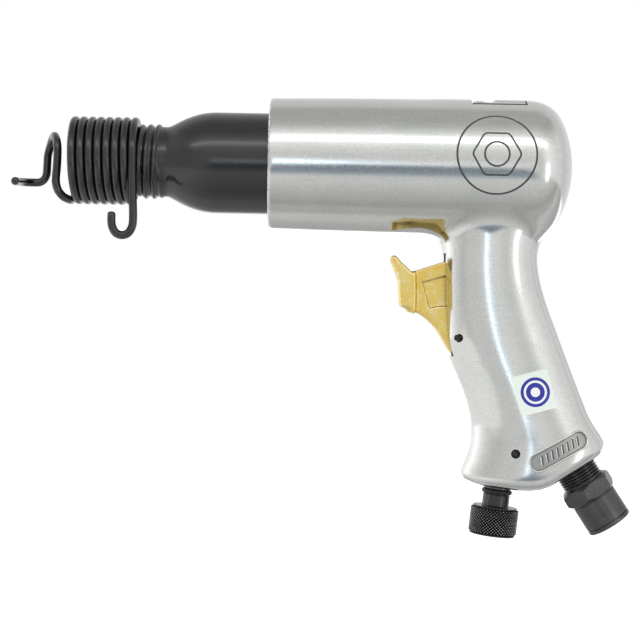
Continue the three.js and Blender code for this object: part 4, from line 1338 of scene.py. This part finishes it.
out = wt.nodes.new("ShaderNodeOutputWorld")
tcw = wt.nodes.new("ShaderNodeTexCoord")
sepw = wt.nodes.new("ShaderNodeSeparateXYZ")
wt.links.new(tcw.outputs["Generated"], sepw.inputs["Vector"])
towards = scaled(wt, sepw.outputs["Y"], -1.0)
elev = angle_of(wt, sepw.outputs["Z"], towards)
azim = angle_of(wt, sepw.outputs["X"], towards)
COOL = (0.80, 0.95, 1.10)
ELEV = [(-180, 0.84), (-150, 0.33), (-110, 0.48), (-92, 0.39), (-74, 0.33), (-55, 0.40), (-31, 0.56), (-24, 0.56),
        (-18.5, 0.40, COOL), (-15.5, 0.28, COOL), (-4.2, 0.18, COOL), (-3.0, 0.26, COOL), (-1.9, 1.55, COOL), (0.3, 1.65, COOL), (1.6, 0.70), (7, 0.62),
        (12, 0.62), (18, 0.67), (25, 0.73), (31, 0.88), (50, 0.88), (55, 0.73), (61, 0.60), (67, 0.49), (78, 0.42), (106, 0.41), (118, 0.57),
        (140, 0.60), (150, 0.66), (180, 0.84)]
AZIM = [(-180, 0.75), (-143, 1.00), (-118, 1.25), (-98, 0.92), (-82, 0.72), (-60, 0.55), (-48, 0.54), (-34, 0.60), (-19, 0.61), (-9, 0.66),
        (-6.0, 0.82), (-5.0, 2.5, COOL), (-3.0, 2.6, COOL), (-1.8, 0.90), (4, 0.78), (11, 0.71), (20, 0.62), (26, 0.62), (32, 0.70), (39, 0.86), (47, 0.92),
        (56, 0.88), (66, 0.82), (80, 0.72), (95, 0.71), (112, 0.62), (127, 0.62), (145, 0.67), (160, 0.72), (180, 0.75)]
x2 = times(wt, sepw.outputs["X"], sepw.outputs["X"])
z2 = times(wt, sepw.outputs["Z"], sepw.outputs["Z"])
summ = wt.nodes.new("ShaderNodeMath")
summ.operation = "ADD"
wt.links.new(x2, summ.inputs[0])
wt.links.new(z2, summ.inputs[1])
frac = wt.nodes.new("ShaderNodeMath")
frac.operation = "DIVIDE"
wt.links.new(x2, frac.inputs[0])
wt.links.new(summ.outputs[0], frac.inputs[1])
sideways = times(wt, span(wt, x2, 0.0, 1.0, 0.10, 0.26), span(wt, z2, 1.0, 0.0, 0.06, 0.30))
either = wt.nodes.new("ShaderNodeMath")
either.operation = "MAXIMUM"
wt.links.new(span(wt, frac.outputs[0], 0.0, 1.0, 0.35, 0.75), either.inputs[0])
wt.links.new(sideways, either.inputs[1])
refl = mix(wt, either.outputs[0], grey_ramp(wt, elev, ELEV), grey_ramp(wt, azim, AZIM))
bg1 = wt.nodes.new("ShaderNodeBackground")
wt.links.new(refl, bg1.inputs["Color"])
bg1.inputs["Strength"].default_value = 5.7
bg2 = wt.nodes.new("ShaderNodeBackground")
bg2.inputs["Color"].default_value = (1, 1, 1, 1)
lp = wt.nodes.new("ShaderNodeLightPath")
mx = wt.nodes.new("ShaderNodeMixShader")
wt.links.new(lp.outputs["Is Camera Ray"], mx.inputs[0])
wt.links.new(bg1.outputs[0], mx.inputs[1])
wt.links.new(bg2.outputs[0], mx.inputs[2])
wt.links.new(mx.outputs[0], out.inputs[0])
bpy.context.scene.view_settings.view_transform = "Standard"
